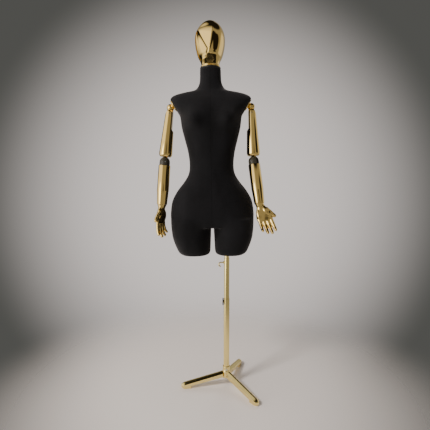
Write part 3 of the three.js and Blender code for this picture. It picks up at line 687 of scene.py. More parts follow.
def ridge_x(z):
    """Where the face's ridge stands at a height, left or right of the middle."""
    return -6.0 + 25.0 * (z - 38.0) / 149.0


def smooth_step(t):
    """0 below 0, 1 above 1, and a smooth rise between."""
    t = min(max(t, 0.0), 1.0)
    return t * t * (3 - 2 * t)


SCOOP = [(-49.0, 146.0), (-40.0, 122.0), (-28.0, 96.0), (-15.0, 70.0), (-9.0, 58.0)]


def scoop_edge(z):
    """The inner edge of the cheek's hollow, from its peak down to the ridge."""
    rows = list(reversed(SCOOP))
    if z <= rows[0][1]:
        return ridge_x(z) + (rows[0][0] - ridge_x(rows[0][1]))
    for (x0, z0), (x1, z1) in zip(rows, rows[1:]):
        if z <= z1:
            return x0 + (x1 - x0) * (z - z0) / (z1 - z0)
    return rows[-1][0] - (z - rows[-1][1]) * 2.0


def head_point(angle, z):
    """A point of the head's surface, from its angle round the axis and its height."""
    half, front, back = between(HEAD, z)
    across, along = math.sin(angle), math.cos(angle)
    depth = front + 10 if along > 0 else back - 10
    x, y = half * across, 10 - depth * along
    if along <= 0 or z < 12:
        return x, y, z
    ridge = ridge_x(z)
    left = -half * 0.97
    if x > ridge:
        fade = smooth_step((z - 26) / 24.0) * smooth_step((198 - z) / 16.0)
        width = 4.0 + 9.0 * smooth_step((z - 90) / 90.0)
        y += 6.5 * fade * (1 - math.exp(-(x - ridge) / width)) * smooth_step((half - x) / (half * 0.6))
    if left < x < ridge:
        ridge_y = 10 - (front + 10) * math.sqrt(max(0.0, 1 - (ridge / half) ** 2))
        left_y = 10 - (front + 10) * math.sqrt(1 - 0.97**2)
        t = (ridge - x) / (ridge - left)
        chord = ridge_y + (left_y - ridge_y) * t
        fade = smooth_step((z - 22) / 30.0) * smooth_step((197 - z) / 40.0)
        y += 0.62 * fade * (chord - y)
        inside = scoop_edge(z) - x
        low = z - 26.0
        if inside > 0 and low > 0:
            room = min(inside, low * 1.3, (x + half * 1.0) * 2.2 + 2.0)
            hollow = 7.0 * (1 - math.exp(-max(room, 0.0) / 8.5))
            x += hollow * 0.45
            y += hollow * 0.9
    return x, y, z


def head_shape(columns=320, rows=150):
    """The egg-shaped shell with its ridge and hollow cheek."""
    bm = bmesh.new()
    bottom, top = HEAD[0][0], HEAD[-1][0]
    loops = []
    angles = []
    for i in range(columns):
        share = i / columns * 2 - 1
        angles.append(math.pi * (share - 0.22 * math.sin(math.pi * share) / math.pi * 1.6))
    for k in range(rows + 1):
        z = bottom + (top - bottom) * (1 - (1 - k / rows) ** 1.35)
        loops.append([bm.verts.new(Vector(head_point(angle, z)) * MM) for angle in angles])
    for low, high in zip(loops, loops[1:]):
        for i, vert in enumerate(low):
            j = (i + 1) % columns
            bm.faces.new((vert, low[j], high[j], high[i]))
    crown = bm.verts.new((0, 0, (top + 1.2) * MM))
    for i, vert in enumerate(loops[-1]):
        bm.faces.new((vert, loops[-1][(i + 1) % columns], crown))
    inner = bm.faces.new(loops[0])
    bmesh.ops.inset_region(bm, faces=[inner], thickness=0.0275, use_even_offset=False)
    bmesh.ops.recalc_face_normals(bm, faces=bm.faces)
    return bm


def ring_shape():
    """The bright rim under the jaw: a band with a rounded outside."""
    half, front, back = 41.0, 28.0, 52.0
    rings = []
    for k in range(13):
        t = k / 12
        bulge = 3.6 * math.sin(math.pi * t) ** 0.6 - 0.6
        ring = []
        for i in range(128):
            angle = math.tau * i / 128
            along = math.cos(angle)
            depth = (front + 10 if along > 0 else back - 10) + bulge
            ring.append(((half + bulge) * math.sin(angle), 10 - depth * along, 8.6 * t))
        rings.append(ring)
    return lofted(rings)


class FORM_OT_head(bpy.types.Operator):
    """Build the plated head and the rim under its jaw."""

    bl_idname = "form.head"
    bl_label = "Head"

    def execute(self, context):
        gold = MATERIALS["gold"]
        place = torso_frame() @ Matrix.Translation((0, 0, NECK_TOP + 0.0003))
        finished("head", head_shape(), "head", ["head_shell"], gold, place, sharp=70)
        finished("jaw_rim", ring_shape(), "head", ["head_ring"], gold, place, sharp=50)
        return {"FINISHED"}


# ---- Arms ----

ARM = {
    "ball": 17.0, "lift": 30.0, "tang": 7.0, "tang_width": 18.0, "length": 214.0, "top": 20.0, "bottom": 30.0,
    "bevel": 10.0, "flat": 13.0, "flat_length": 88.0, "ramp": 17.0, "above_pin": 18.0, "elbow_ball": 15.0,
    "elbow_in": 15.5, "bend": 40.5, "dome": 24.0, "rim": 16.0, "fore": 196.0, "fore_radius": 27.0,
    "taper": 138.0, "wrist": 23.0, "pin": 3.0,
}


def globe(radius, z=0.0):
    """A ball."""
    bm = bmesh.new()
    bmesh.ops.create_uvsphere(bm, u_segments=64, v_segments=40, radius=radius * MM, matrix=shifted(z=z))
    return bm


def link_shape(radius, drop, shank):
    """A ball over a flat tongue with a rounded, drilled end."""
    width, thick = ARM["tang_width"], ARM["tang"]
    tongue = block(width, thick, drop, shifted(z=-drop / 2))
    end = cylinder(width / 2, -thick / 2, thick / 2, shifted(z=-drop) @ lying())
    joined = boolean(tongue, [end, globe(radius), shank], "UNION")
    return boolean(joined, [cylinder(ARM["pin"] + 0.3, -20, 20, shifted(z=-drop) @ lying())])


def slot_blocks(radius, top):
    """The room that a link's tongue swings in."""
    width = ARM["tang"] + 0.8
    return block(120, width, top + radius, shifted(z=(top - radius) / 2))


def upper_arm_shape(side):
    """An upper arm with its flat, its slot and the rooms for both balls."""
    top, end = ARM["above_pin"], ARM["above_pin"] - ARM["length"]
    wide, thin, bevel = ARM["bottom"], ARM["top"], ARM["bevel"]
    profile = [
        (0, end), (wide - bevel * 0.62, end), (wide - bevel * 0.3, end + bevel * 0.28),
        (wide - 1.2, end + bevel * 0.75), (wide, end + bevel * 1.3), (thin, top - bevel),
        (thin - bevel * 0.1, top - bevel * 0.6), (thin - bevel * 0.4, top - bevel * 0.18),
        (thin - bevel * 0.75, top), (0, top),
    ]
    limb = turned(profile, 96)
    face = thin - ARM["flat"] + 6
    flat_end = top - ARM["flat_length"]
    outline = [
        (face, top + 5), (60, top + 5), (60, flat_end - ARM["ramp"]),
        (face + ARM["flat"] + 4, flat_end - ARM["ramp"]), (face + 3, flat_end),
    ]
    wedge = bmesh.new()
    verts = [wedge.verts.new((x * MM, -0.06, z * MM)) for x, z in outline]
    base = wedge.faces.new(verts)
    pushed = bmesh.ops.extrude_face_region(wedge, geom=[base])
    moved = [v for v in pushed["geom"] if isinstance(v, bmesh.types.BMVert)]
    bmesh.ops.translate(wedge, vec=(0, 0.12, 0), verts=moved)
    if side > 0:
        bmesh.ops.rotate(wedge, cent=(0, 0, 0), matrix=Matrix.Rotation(math.pi, 3, "Z"), verts=wedge.verts)
    bmesh.ops.recalc_face_normals(wedge, faces=wedge.faces)
    ball_z = end + ARM["elbow_in"]
    tools = [
        wedge, slot_blocks(12, top + 10), cylinder(3.3, -40, 40, lying()),
        globe(ARM["elbow_ball"] + 0.6, ball_z), cylinder(6.3, ball_z, ball_z + 44),
        cylinder(10.2, end - 5, ball_z),
    ]
    for angle in (0, 20, 40, 60):
        swing = math.radians(side * angle)
        room = globe(ARM["ball"] + 0.8)
        where = (math.sin(swing) * ARM["lift"], 0, math.cos(swing) * ARM["lift"])
        bmesh.ops.translate(room, vec=Vector(where) * MM, verts=room.verts)
        tools.append(room)
    return boolean(limb, tools)


def forearm_shape():
    """The forearm's tube, up to the rim round its dome."""
    low, wide, rim = -ARM["fore"], ARM["fore_radius"], -ARM["rim"]
    profile = [
        (0, low), (ARM["wrist"] - 2, low), (ARM["wrist"] - 0.6, low + 0.6), (ARM["wrist"], low + 2),
        (wide - 0.9, -ARM["taper"] - 1), (wide - 0.2, -ARM["taper"] + 2), (wide, -ARM["taper"] + 6),
        (wide, rim - 1.4), (wide - 0.4, rim - 0.4), (wide - 1.4, rim), (ARM["dome"] + 0.1, rim),
        (ARM["dome"] + 0.1, rim - 8), (0, rim - 8),
    ]
    tools = [cylinder(7.3, low - 5, low + 26.3)]
    return boolean(turned(profile, 96), tools)


def dome_shape():
    """The forked dome that the elbow's tongue turns in."""
    dome = ARM["dome"]
    profile = [(0, -ARM["rim"] - 7), (dome, -ARM["rim"] - 7), (dome, -1)]
    profile += [(math.cos(i * math.pi / 40) * dome, math.sin(i * math.pi / 40) * dome) for i in range(20)]
    profile.append((0, dome))
    return boolean(turned(profile, 96), [slot_blocks(13, dome + 10), cylinder(3.3, -40, 40, lying())])


def pin_shape(reach):
    """A pin with slightly rounded ends and a driver's slot across one of them."""
    radius = ARM["pin"]
    profile = [(0, -reach), (radius - 0.5, -reach), (radius, -reach + 0.5)]
    profile += [(radius, reach - 0.5), (radius - 0.5, reach), (0, reach)]
    slots = [block(8, 0.9, 1.6, shifted(z=end * reach)) for end in (-1, 1)]
    bm = boolean(turned(profile, 32), slots)
    bmesh.ops.transform(bm, matrix=lying(), verts=bm.verts)
    return bm


class FORM_OT_arms(bpy.types.Operator):
    """Build both arms: ball links, upper arms, forearms and pins."""

    bl_idname = "form.arms"
    bl_label = "Arms"

    def execute(self, context):
        gold, steel = MATERIALS["gold"], MATERIALS["steel"]
        for side, name in ((-1, "left"), (1, "right")):
            spin, lift = f"shoulder_spin_{name}", f"shoulder_lift_{name}"
            turn_at, bend = f"elbow_spin_{name}", f"elbow_bend_{name}"
            shoulder = limb_frame(spin, turn_at, lift, side)
            upper = limb_frame(lift, turn_at, lift, side)
            elbow = limb_frame(turn_at, turn_at, bend, side)
            fore = limb_frame(bend, f"wrist_turn_{name}", bend, side)

            disc_axis = Matrix.Rotation(side * math.radians(119), 4, "Y")
            out_of_plate = shoulder.inverted().to_3x3() @ torso_frame().to_3x3() @ disc_axis.to_3x3()
            shank = cylinder(7.0, -41.5, 0, out_of_plate.to_4x4())
            link = link_shape(ARM["ball"], ARM["lift"], shank)
            body = f"shoulder_joint_{name}"
            finished(
                f"shoulder_ball_{name}", link, body, [f"shoulder_link_{name}"], gold, shoulder,
                bevel=0.6,
            )
            body = f"upper_arm_{name}"
            finished(
                f"upper_limb_{name}", upper_arm_shape(side), body, [f"upper_arm_{name}"], gold,
                upper, bevel=0.8,
            )
            finished(
                f"shoulder_rivet_{name}", pin_shape(15.0), body, [f"shoulder_pin_{name}"], steel,
                upper,
            )
            body = f"elbow_joint_{name}"
            shank = cylinder(6.0, 0, 40)
            link = link_shape(ARM["elbow_ball"], ARM["bend"], shank)
            finished(
                f"elbow_ball_{name}", link, body, [f"elbow_link_{name}"], gold, elbow, bevel=0.6
            )
            body = f"forearm_{name}"
            finished(
                f"lower_limb_{name}", forearm_shape(), body, [f"forearm_{name}"], gold, fore,
                sharp=40,
            )
            finished(
                f"elbow_dome_{name}", dome_shape(), body, [], MATERIALS["dome"], fore,
                bevel=0.5, sharp=40,
            )
            finished(
                f"elbow_rivet_{name}", pin_shape(22.5), body, [f"elbow_pin_{name}"], steel, fore
            )
            plate = torso_frame() @ Matrix.Translation((side * ARMHOLE[0], *ARMHOLE[1:])) @ disc_axis
            disc = turned([
                (7.4, 0.1), (27, 0.1), (27, 2.6), (26.6, 3.5), (25.4, 4), (9.2, 4), (7.9, 3.6), (7.4, 2.8),
                (7.4, 0.1),
            ], 96)
            disc = boolean(disc, [globe(ARM["ball"] + 1.2, 17.5)])
            finished(
                f"shoulder_boss_{name}", disc, "torso", [f"shoulder_disc_{name}"], gold, plate
            )
        return {"FINISHED"}


# ---- Hands ----

FINGERS = [70.0, 80.0, 75.0, 60.0]  # index to little


def tube_of(points, radii, squash=1.0, count=20):
    """A closed tube through points, with round ends."""
    rings = []
    points = [Vector(point) for point in points]
    for k, (point, radius) in enumerate(zip(points, radii)):
        ahead = points[min(k + 1, len(points) - 1)] - points[max(k - 1, 0)]
        z = ahead.normalized()
        x = Vector((1, 0, 0)) - z * z.x
        x.normalize()
        y = z.cross(x)
        ring = []
        for i in range(count):
            angle = math.tau * i / count
            ring.append(point + x * radius * math.sin(angle) + y * radius * squash * math.cos(angle))
        rings.append(ring)
    return lofted(rings)


def finger_line(length, radius, curl, first=0.4):
    """Points down a finger that is bent by the same angle at each joint, and its thickness at each."""
    shares = [(0.0, 1.0), (0.20, 0.95), (0.22, 0.96), (0.05, 0.97), (0.24, 0.86), (0.06, 0.88), (0.13, 0.78)]
    shares += [(0.05, 0.70), (0.03, 0.52), (0.012, 0.28)]
    bends = {3: 1.0, 5: 1.0, 6: 0.6}
    spot = Vector((0, 0, 6))
    bend = curl * first
    points, radii = [], []
    for k, (share, thick) in enumerate(shares):
        bend += curl * bends.get(k, 0.0)
        along = Vector((0, -math.sin(math.radians(bend)), -math.cos(math.radians(bend))))
        spot = spot + along * share * length
        points.append(spot.copy())
        radii.append(radius * thick)
    return points, radii


def palm_shape():
    """The palm and the narrow wrist."""
    rows = [
        (-86, 31, 8.5, 0.5), (-80, 35, 10.5, 1), (-70, 37, 11.6, 1), (-56, 36, 12.6, 1.5), (-42, 32, 13, 2),
        (-30, 26.5, 13.4, 1.5), (-18, 20, 14, 0.5), (-8, 17.5, 15.2, 0), (-1, 18, 16.8, 0),
    ]
    rings = []
    for z, half, deep, shift in rows:
        ring = []
        for i in range(40):
            angle = math.tau * i / 40
            ring.append((shift + half * math.sin(angle), -deep * math.cos(angle), z))
        rings.append(ring)
    return lofted(rings)


def pad_of_hand(centre, radii, lean):
    """A fleshy pad on the palm."""
    bm = bmesh.new()
    bmesh.ops.create_uvsphere(bm, u_segments=32, v_segments=20, radius=MM)
    place = shifted(*centre) @ Matrix.Rotation(math.radians(lean), 4, "Y") @ Matrix.Diagonal((*radii, 1))
    bmesh.ops.transform(bm, matrix=place, verts=bm.verts)
    return bm


def hand_shape(tilt, mirrored, voxel):
    """A hand with four fingers and a thumb, cut flat at the wrist."""
    thumb_pad = pad_of_hand((17, -7, -42), (13, 10, 26), -24)
    heel_pad = pad_of_hand((-20, -5, -48), (11, 9, 26), 6)
    parts = [palm_shape(), thumb_pad, heel_pad]
    for i, length in enumerate(FINGERS):
        across = 1.5 - i
        points, radii = finger_line(length * 1.06, 8.8 - (1.0 if i == 3 else 0.0), 7.0 + 2.5 * i, 0.7)
        bone = tube_of(points, radii, 0.94)
        spread = Matrix.Rotation(math.radians(-across * 1.6), 4, "Y")
        root = shifted(across * 17.2, 0, -77 - abs(across))
        bmesh.ops.transform(bone, matrix=root @ spread, verts=bone.verts)
        parts.append(bone)
    points, radii = finger_line(60.0, 10.4, 9.0)
    thumb = tube_of(points, radii, 0.94)
    turn_it = Matrix.Rotation(math.radians(-31), 4, "Y") @ Matrix.Rotation(math.radians(16), 4, "X")
    bmesh.ops.transform(thumb, matrix=shifted(22, -5, -37) @ turn_it, verts=thumb.verts)
    parts.append(thumb)
    bm = merged(*parts)
    bmesh.ops.transform(bm, matrix=Matrix.Rotation(math.radians(-tilt), 4, "Y"), verts=bm.verts)
    cuff = turned([(0, -22), (12, -22), (17, -12), (20.5, -1.5), (21.5, -0.5), (21.5, 6), (0, 6)], 64)
    bm = fused(merged(bm, cuff), voxel, 7)
    everything = bm.verts[:] + bm.edges[:] + bm.faces[:]
    cut_at = bmesh.ops.bisect_plane(
        bm, geom=everything, dist=1e-6, plane_co=(0, 0, -0.0001), plane_no=(0, 0, 1), clear_outer=True
    )
    rim = [e for e in cut_at["geom_cut"] if isinstance(e, bmesh.types.BMEdge)]
    bmesh.ops.holes_fill(bm, edges=rim, sides=0)
    if mirrored:
        bmesh.ops.scale(bm, vec=(-1, 1, 1), verts=bm.verts)
        bmesh.ops.reverse_faces(bm, faces=bm.faces)
    return bm


class FORM_OT_hands(bpy.types.Operator):
    """Build both plated hands."""

    bl_idname = "form.hands"
    bl_label = "Hands"

    def execute(self, context):
        settings = context.scene.display_form
        for side, name, twist, tilt in ((-1, "left", 56, 2), (1, "right", 44, 12)):
            fore = limb_frame(f"wrist_turn_{name}", f"wrist_turn_{name}", f"elbow_bend_{name}", side)
            place = fore @ Matrix.Rotation(math.radians(twist), 4, "Z")
            shape = hand_shape(tilt, side < 0, settings.hand_voxel)
            finished(
                f"plated_hand_{name}", shape, f"hand_{name}", [f"hand_{name}"],
                MATERIALS["gold"], place, sharp=60,
            )
        return {"FINISHED"}


# ---- Stand ----

STAND = {
    "reach": 226.0, "width": 30.0, "at_hub": 27.0, "at_tip": 21.0, "top_hub": 74.0, "top_tip": 27.0,
    "ridge": 7.0, "drop": 9.0, "pad": 42.0, "pad_width": 24.0, "hub": 19.0, "collar": 17.5, "bottom": 42.0,
    "shoulder": 78.0, "top": 101.0,
}
LEG_ANGLES = {"left": 188.5, "front": 308.5, "back": 68.5}
LEG_ROOT = STAND["hub"] + 0.3


def leg_section(x):
    """One section of a ridge-topped leg."""
    t = min(max((x - LEG_ROOT) / (STAND["reach"] - LEG_ROOT), 0.0), 1.0)
    top = STAND["top_hub"] + (STAND["top_tip"] - STAND["top_hub"]) * t
    return top, top - (STAND["at_hub"] + (STAND["at_tip"] - STAND["at_hub"]) * t)


def leg_shape():
    """A sloping bar with a narrow flat on top and a rounded tip."""
    rings = []
    stations = [0, 0.04, 0.2, 0.4, 0.6, 0.8] + [0.9 + 0.1 * math.sin(math.pi / 2 * k / 10) for k in range(11)]
    for t in stations:
        x = LEG_ROOT + (STAND["reach"] - LEG_ROOT) * t
        top, bottom = leg_section(x)
        tip = math.sqrt(max(0.1, 1 - (max(0.0, t - 0.9) / 0.1) ** 2))
        half, crest = STAND["width"] / 2 * tip, STAND["ridge"] / 2 * tip
        crown = bottom + (top - bottom) * (0.55 + 0.45 * tip)
        edge = crown - STAND["drop"] * tip
        rings.append([
            (x, -half, bottom), (x, half, bottom), (x, half, edge), (x, crest, crown), (x, -crest, crown),
            (x, -half, edge),
        ])
    return lofted(rings)


def pad_shape():
    """A foot pad."""
    end = STAND["pad_width"] / 2
    start = STAND["reach"] - 6 - STAND["pad"]
    far = STAND["reach"] - 6 - end
    outline = [(start, -end)]
    for k in range(25):
        angle = -math.pi / 2 + math.pi * k / 24
        outline.append((far + end * math.cos(angle), end * math.sin(angle)))
    outline.append((start, end))
    bm = bmesh.new()
    lower = [bm.verts.new((x * MM, y * MM, 0)) for x, y in outline]
    face = bm.faces.new(lower)
    pushed = bmesh.ops.extrude_face_region(bm, geom=[face])
    for vert in pushed["geom"]:
        if isinstance(vert, bmesh.types.BMVert):
            vert.co.z = (leg_section(vert.co.x / MM)[1] - 0.2) * MM
    bmesh.ops.recalc_face_normals(bm, faces=bm.faces)
    return bm


def hub_shape():
    """The stand's cast hub."""
    hub, collar, bottom = STAND["hub"], STAND["collar"], STAND["bottom"]
    shoulder, top = STAND["shoulder"], STAND["top"]
    profile = [
        (14.5, bottom + 13), (14.5, top - 0.6), (15.1, top), (collar - 1.4, top), (collar - 0.4, top - 0.5),
        (collar, top - 1.6), (collar, shoulder + 4), (collar + 0.3, shoulder + 2.6),
        (hub - 0.6, shoulder + 0.8),
        (hub, shoulder - 0.6), (hub, bottom + 0.8), (hub - 0.8, bottom), (4.3, bottom), (4.3, bottom + 13),
        (14.5, bottom + 13),
    ]
    return boolean(turned(profile, 96), [cylinder(3.3, 0, 30, shifted(z=shoulder + 10) @ lying())])


def tube_shape(outer, inner, bottom, top, lip=0.5):
    """A round tube."""
    profile = [
        (inner, bottom), (outer - lip, bottom), (outer, bottom + lip), (outer, top - lip), (outer - lip, top),
        (inner + 0.2, top), (inner, top - 0.3), (inner, bottom),
    ]
    return turned(profile, 96)


def boss_shape(tube, length, z):
    """A threaded boss on the tube's right-hand side, hollowed to the tube."""
    turn_out = Matrix.Rotation(-math.pi / 2, 4, "Y")
    end = tube + length
    boss = turned([(0, 0), (6.5, 0), (6.5, end - 0.8), (5.8, end), (0, end)], 48, turn_out)
    tools = [cylinder(tube + 0.2, -20, 20), cylinder(3.3, 0, 40, turn_out)]
    bm = boolean(boss, tools)
    bmesh.ops.transform(bm, matrix=shifted(z=z), verts=bm.verts)
    return bm


KNOB = {"height": 35.0, "width": 21.0, "thick": 4.5, "ribs": 36, "rib_depth": 0.28, "points": 144}


def knob_outline(grow):
    """The knob's oval, grown or shrunk, with ribs unless it is well inside the edge."""
    straight = (KNOB["height"] - KNOB["width"]) / 2
    ring = []
    for i in range(KNOB["points"]):
        angle = math.tau * i / KNOB["points"]
        ribbed = KNOB["rib_depth"] * math.cos(KNOB["ribs"] * angle) if grow > -0.5 else 0.0
        radius = KNOB["width"] / 2 + grow + ribbed
        shift = straight if math.cos(angle) > 0 else -straight
        ring.append((radius * math.cos(angle) + shift, radius * math.sin(angle)))
    return ring


def knob_shape(face):
    """An oval thumb knob with a ribbed edge."""
    end = face + KNOB["thick"]
    levels = [(face, -1.2), (face + 0.25, -0.5), (face + 0.8, -0.1), (end - 0.8, -0.1)]
    levels += [(end - 0.25, -0.5), (end, -1.2), (end, -3.4), (end - 0.7, -4.2)]
    rings = [[(x, y, z) for x, y in knob_outline(grow)] for z, grow in levels]
    return boolean(lofted(rings), [cylinder(3.3, 0, face + 3.3)])


def hook_shape():
    """A bent rod: out of the boss, then round and down."""
    start, face, reach, drop, radius, steps = 11.4, 17.6, 21.0, 20.0, 3.0, 28
    bend = drop / 2
    out = -(face + reach)
    points = [(-start, 0, 0), (out + bend, 0, 0)]
    for k in range(1, 25):
        angle = math.pi * k / 24
        points.append((out + bend - bend * math.sin(angle), 0, -bend + bend * math.cos(angle)))
    rings = []
    points = [Vector(point) for point in points]
    for k, point in enumerate(points):
        z = (points[min(k + 1, len(points) - 1)] - points[max(k - 1, 0)]).normalized()
        y = Vector((0, 1, 0))
        x = y.cross(z)
        ring = []
        for i in range(steps):
            around = math.tau * i / steps
            ring.append(point + x * radius * math.cos(around) + y * radius * math.sin(around))
        rings.append(ring)
    return lofted(rings)


class FORM_OT_stand(bpy.types.Operator):
    """Build the three-legged stand and its telescoping pole."""

    bl_idname = "form.stand"
    bl_label = "Stand"

    def execute(self, context):
        cast, tube_gold = MATERIALS["cast"], MATERIALS["tube"]
        here = Matrix.Translation((POLE.x, POLE.y, 0))
        for name, angle in LEG_ANGLES.items():
            place = here @ Matrix.Rotation(math.radians(angle), 4, "Z")
            finished(
                f"cast_leg_{name}", leg_shape(), "base", [f"leg_{name}"], cast, place, bevel=1.6
            )
            finished(
                f"cast_pad_{name}", pad_shape(), "base", [f"foot_pad_{name}"], cast, place,
                bevel=1.2,
            )
        finished("cast_hub", hub_shape(), "base", ["hub"], cast, here)
        lower = tube_shape(14.2, 12.9, 56, 450, 0.6)
        finished("outer_tube", lower, "base", ["lower_tube"], tube_gold, here)
        lower = boss_shape(14.2, 1.2, 433)
        finished("outer_boss", lower, "base", ["lower_clamp_boss"], tube_gold, here)
        place = here @ shifted(z=433) @ Matrix.Rotation(-math.pi / 2, 4, "Y")
        finished(
            "thumb_knob", knob_shape(15.7), "clamp_knob", ["height_knob"],
            MATERIALS["black"], place,
        )
        finished(
            "middle_tube", tube_shape(12.6, 11.3, 190, 651), "mid_pole", ["mid_tube"], tube_gold,
            here,
        )
        finished(
            "middle_boss", boss_shape(12.6, 5, 629), "mid_pole", ["upper_clamp_boss"], tube_gold,
            here,
        )
        finished(
            "bent_hook", hook_shape(), "hook", ["hook_screw"], tube_gold, here @ shifted(z=629),
            bevel=0.5,
        )
        inner = turned([(0, 400), (11, 400), (11, 806.6), (10.6, 807), (0, 807)], 96)
        finished("inner_rod", inner, "spigot", ["spigot_rod"], tube_gold, here)
        return {"FINISHED"}


# ---- Remaining hardware ----


class FORM_OT_hardware(bpy.types.Operator):
    """Give the nodes that stay as modelled their materials."""

    bl_idname = "form.hardware"
    bl_label = "Hardware"

    def execute(self, context):
        of_slot = {
            "velvet": MATERIALS["black"], "shell": MATERIALS["shell"], "gold_plate": MATERIALS["gold"],
            "gold_tube": MATERIALS["tube"], "cast_gold": MATERIALS["cast"],
            "black_plastic": MATERIALS["black"], "steel": MATERIALS["steel"],
        }
        slots = {}
        for entry in frame["record"].get("subparts", []):
            name = entry.get("node") or entry.get("name")
            slots[name] = entry.get("material") or entry.get("material_slot")
        for name, node in frame["nodes"].items():
            material = of_slot.get(slots.get(name), MATERIALS["steel"])
            node.data.materials.clear()
            node.data.materials.append(material)
        return {"FINISHED"}


# ---- Stage ----


class FORM_OT_stage(bpy.types.Operator):
    """Set the floor, the lights, the reflections and the camera."""

    bl_idname = "form.stage"
    bl_label = "Stage"

    def execute(self, context):
        settings = context.scene.display_stage
        self.floor(settings)
        self.surroundings(settings)
        self.light("key", (-2.2, -1.9, 2.9), 0.9, 120, (1.0, 0.965, 0.92))
        self.light("fill", (2.6, -1.6, 1.6), 1.8, 9, (0.95, 0.97, 1.0))
        self.light("back", (0.4, 2.4, 2.7), 1.6, 22, (1.0, 0.98, 0.95))
        self.camera(settings)
        return {"FINISHED"}

    def floor(self, settings):
        """A pale floor that fades out."""
        bm = bmesh.new()
        bmesh.ops.create_circle(bm, cap_ends=True, segments=96, radius=6.0)
        obj = new_object("floor", bm)
        made, graph = new_material("floor")
        color = settings.wall_color
        tone = graph.mix(graph.noise(3.0, 4.0), rgba(color, 0.985), rgba(color, 1.01))
        apart = graph.node("ShaderNodeVectorMath", {"operation": "LENGTH"}, {0: graph.place()}, "Value")
        fade = {"interpolation_type": "SMOOTHERSTEP"}
        solid = graph.node("ShaderNodeMapRange", fade, {0: apart, 1: 0.3, 2: 1.35, 3: 1.0, 4: 0.0})
        grain = graph.noise(40.0, 3.0)
        graph.surface(Base_Color=tone, Roughness=0.75 + 0.1 * grain, Specular_IOR_Level=0.2, Alpha=solid)
        obj.data.materials.append(made)

    def surroundings(self, settings):
        """What the gold mirrors, and the backdrop that the camera sees."""
        world = bpy.data.worlds.new("studio")
        bpy.context.scene.world = world
        world.use_nodes = True
        graph = Graph(world.node_tree)
        where = graph.node("ShaderNodeTexCoord", output="Generated")

        def patch(around, up, size, edge):
            """1 inside a round patch, fading to 0 outside it; 0 degrees around is in front."""
            around, up = math.radians(around), math.radians(up)
            aim = (math.sin(around) * math.cos(up), -math.cos(around) * math.cos(up), math.sin(up))
            dot = {"operation": "DOT_PRODUCT"}
            facing = graph.node("ShaderNodeVectorMath", dot, {0: where, 1: aim}, "Value")
            low, high = math.cos(math.radians(size + edge)), math.cos(math.radians(size))
            smooth = {"interpolation_type": "SMOOTHSTEP"}
            return graph.node("ShaderNodeMapRange", smooth, {0: facing, 1: low, 2: high})

        wall = patch(-80, 12, 34, 26)
        window = patch(-54, -2, 13, 5)
        strip = patch(122, 5, 14, 14)
        dark = patch(64, 12, 10, 12)
        behind = patch(-138, 8, 16, 12)
        figure = patch(12, 0, 7, 7)
        ceiling = patch(0, 90, 42, 12)
        bright = 0.30 + 1.0 * wall + 3.2 * window + 0.5 * strip
        shade = bright - 0.5 * dark - 1.0 * behind - 0.2 * figure - 0.34 * ceiling
        shade = graph.node("ShaderNodeMath", {"operation": "MAXIMUM"}, {0: shade, 1: 0.012})
        tint = graph.mix(window, (1.0, 0.93, 0.84, 1.0), (1.0, 0.985, 0.94, 1.0))
        glow = patch(180, -5, 3, 31)
        backdrop = graph.mix(glow, rgba(settings.shade_color), rgba(settings.wall_color))
        plain = graph.node("ShaderNodeBackground", inputs={0: backdrop, 1: 1.0})
        studio = graph.node("ShaderNodeBackground", inputs={0: tint, 1: shade})
        seen = graph.node("ShaderNodeLightPath", output="Is Camera Ray")
        mixed = graph.node("ShaderNodeMixShader", inputs={0: seen, 1: studio, 2: plain})
        graph.node("ShaderNodeOutputWorld", inputs={"Surface": mixed})

    def light(self, name, place, size, power, color):
        """An area light aimed at the form."""
        data = bpy.data.lights.new(name, "AREA")
        data.shape = "DISK"
        data.size = size
        data.energy = power
        data.color = color
        obj = bpy.data.objects.new(name, data)
        obj.location = place
        obj.rotation_euler = (Vector((0, 0, 0.8)) - Vector(place)).to_track_quat("-Z", "Y").to_euler()
        obj.visible_glossy = False
        bpy.context.collection.objects.link(obj)

    def camera(self, settings):
        """The camera in front of the form."""
        data = bpy.data.cameras.new("camera")
        data.lens = settings.lens
        data.sensor_width = 36.0
        obj = bpy.data.objects.new("camera", data)
        obj.location = (POLE.x - settings.aside, POLE.y - settings.distance, settings.eye)
        obj.rotation_euler = (math.pi / 2 - settings.pitch, 0, 0)
        bpy.context.collection.objects.link(obj)
        bpy.context.scene.camera = obj


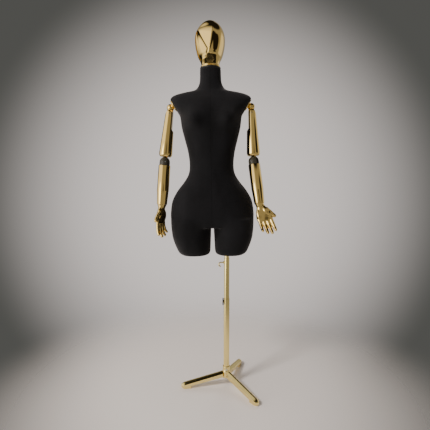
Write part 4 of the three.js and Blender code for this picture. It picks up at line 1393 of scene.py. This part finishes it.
class FORM_PT_panel(bpy.types.Panel):
    """Rebuilds any part of the form from the sidebar."""

    bl_label = "Display Form"
    bl_space_type = "VIEW_3D"
    bl_region_type = "UI"
    bl_category = "Display Form"

    def draw(self, context):
        layout = self.layout
        for operator in OPERATORS:
            layout.operator(operator.bl_idname)
        for settings in (context.scene.display_form, context.scene.display_stage):
            for name in settings.bl_rna.properties.keys():
                if name not in ("rna_type", "name"):
                    layout.prop(settings, name)


OPERATORS = (
    FORM_OT_sleeve,
    FORM_OT_head,
    FORM_OT_arms,
    FORM_OT_hands,
    FORM_OT_stand,
    FORM_OT_hardware,
    FORM_OT_stage,
)
MATERIALS = {}


def register():
    """Add the add-on to Blender."""
    for group in (FormSettings, StageSettings, *OPERATORS, FORM_PT_panel):
        bpy.utils.register_class(group)
    bpy.types.Scene.display_form = bpy.props.PointerProperty(type=FormSettings)
    bpy.types.Scene.display_stage = bpy.props.PointerProperty(type=StageSettings)


def unregister():
    """Remove the add-on from Blender."""
    del bpy.types.Scene.display_stage
    del bpy.types.Scene.display_form
    for group in (FORM_PT_panel, *reversed(OPERATORS), StageSettings, FormSettings):
        bpy.utils.unregister_class(group)


def main():
    """Build the form and its stage."""
    register()
    settings = bpy.context.scene.display_form
    MATERIALS["gold"] = plated_material("mirror_gold", settings.gold_color, 0.045, 1.0, 0.02)
    MATERIALS["tube"] = plated_material("tube_gold", settings.tube_color, 0.10, 0.1, 0.03)
    MATERIALS["cast"] = plated_material("cast_gold", settings.tube_color, 0.17, 1.6, 0.25)
    MATERIALS["black"] = plastic_material("black_plastic", (0.012, 0.012, 0.013), 0.34)
    MATERIALS["dome"] = plastic_material("dark_dome", (0.03, 0.026, 0.017), 0.26)
    MATERIALS["shell"] = plastic_material("moulded_shell", (0.30, 0.27, 0.23), 0.6)
    MATERIALS["steel"] = steel_material()
    bpy.ops.form.sleeve()
    bpy.ops.form.head()
    bpy.ops.form.arms()
    bpy.ops.form.hands()
    bpy.ops.form.stand()
    bpy.ops.form.hardware()
    bpy.ops.form.stage()


if __name__ == "__main__":
    main()
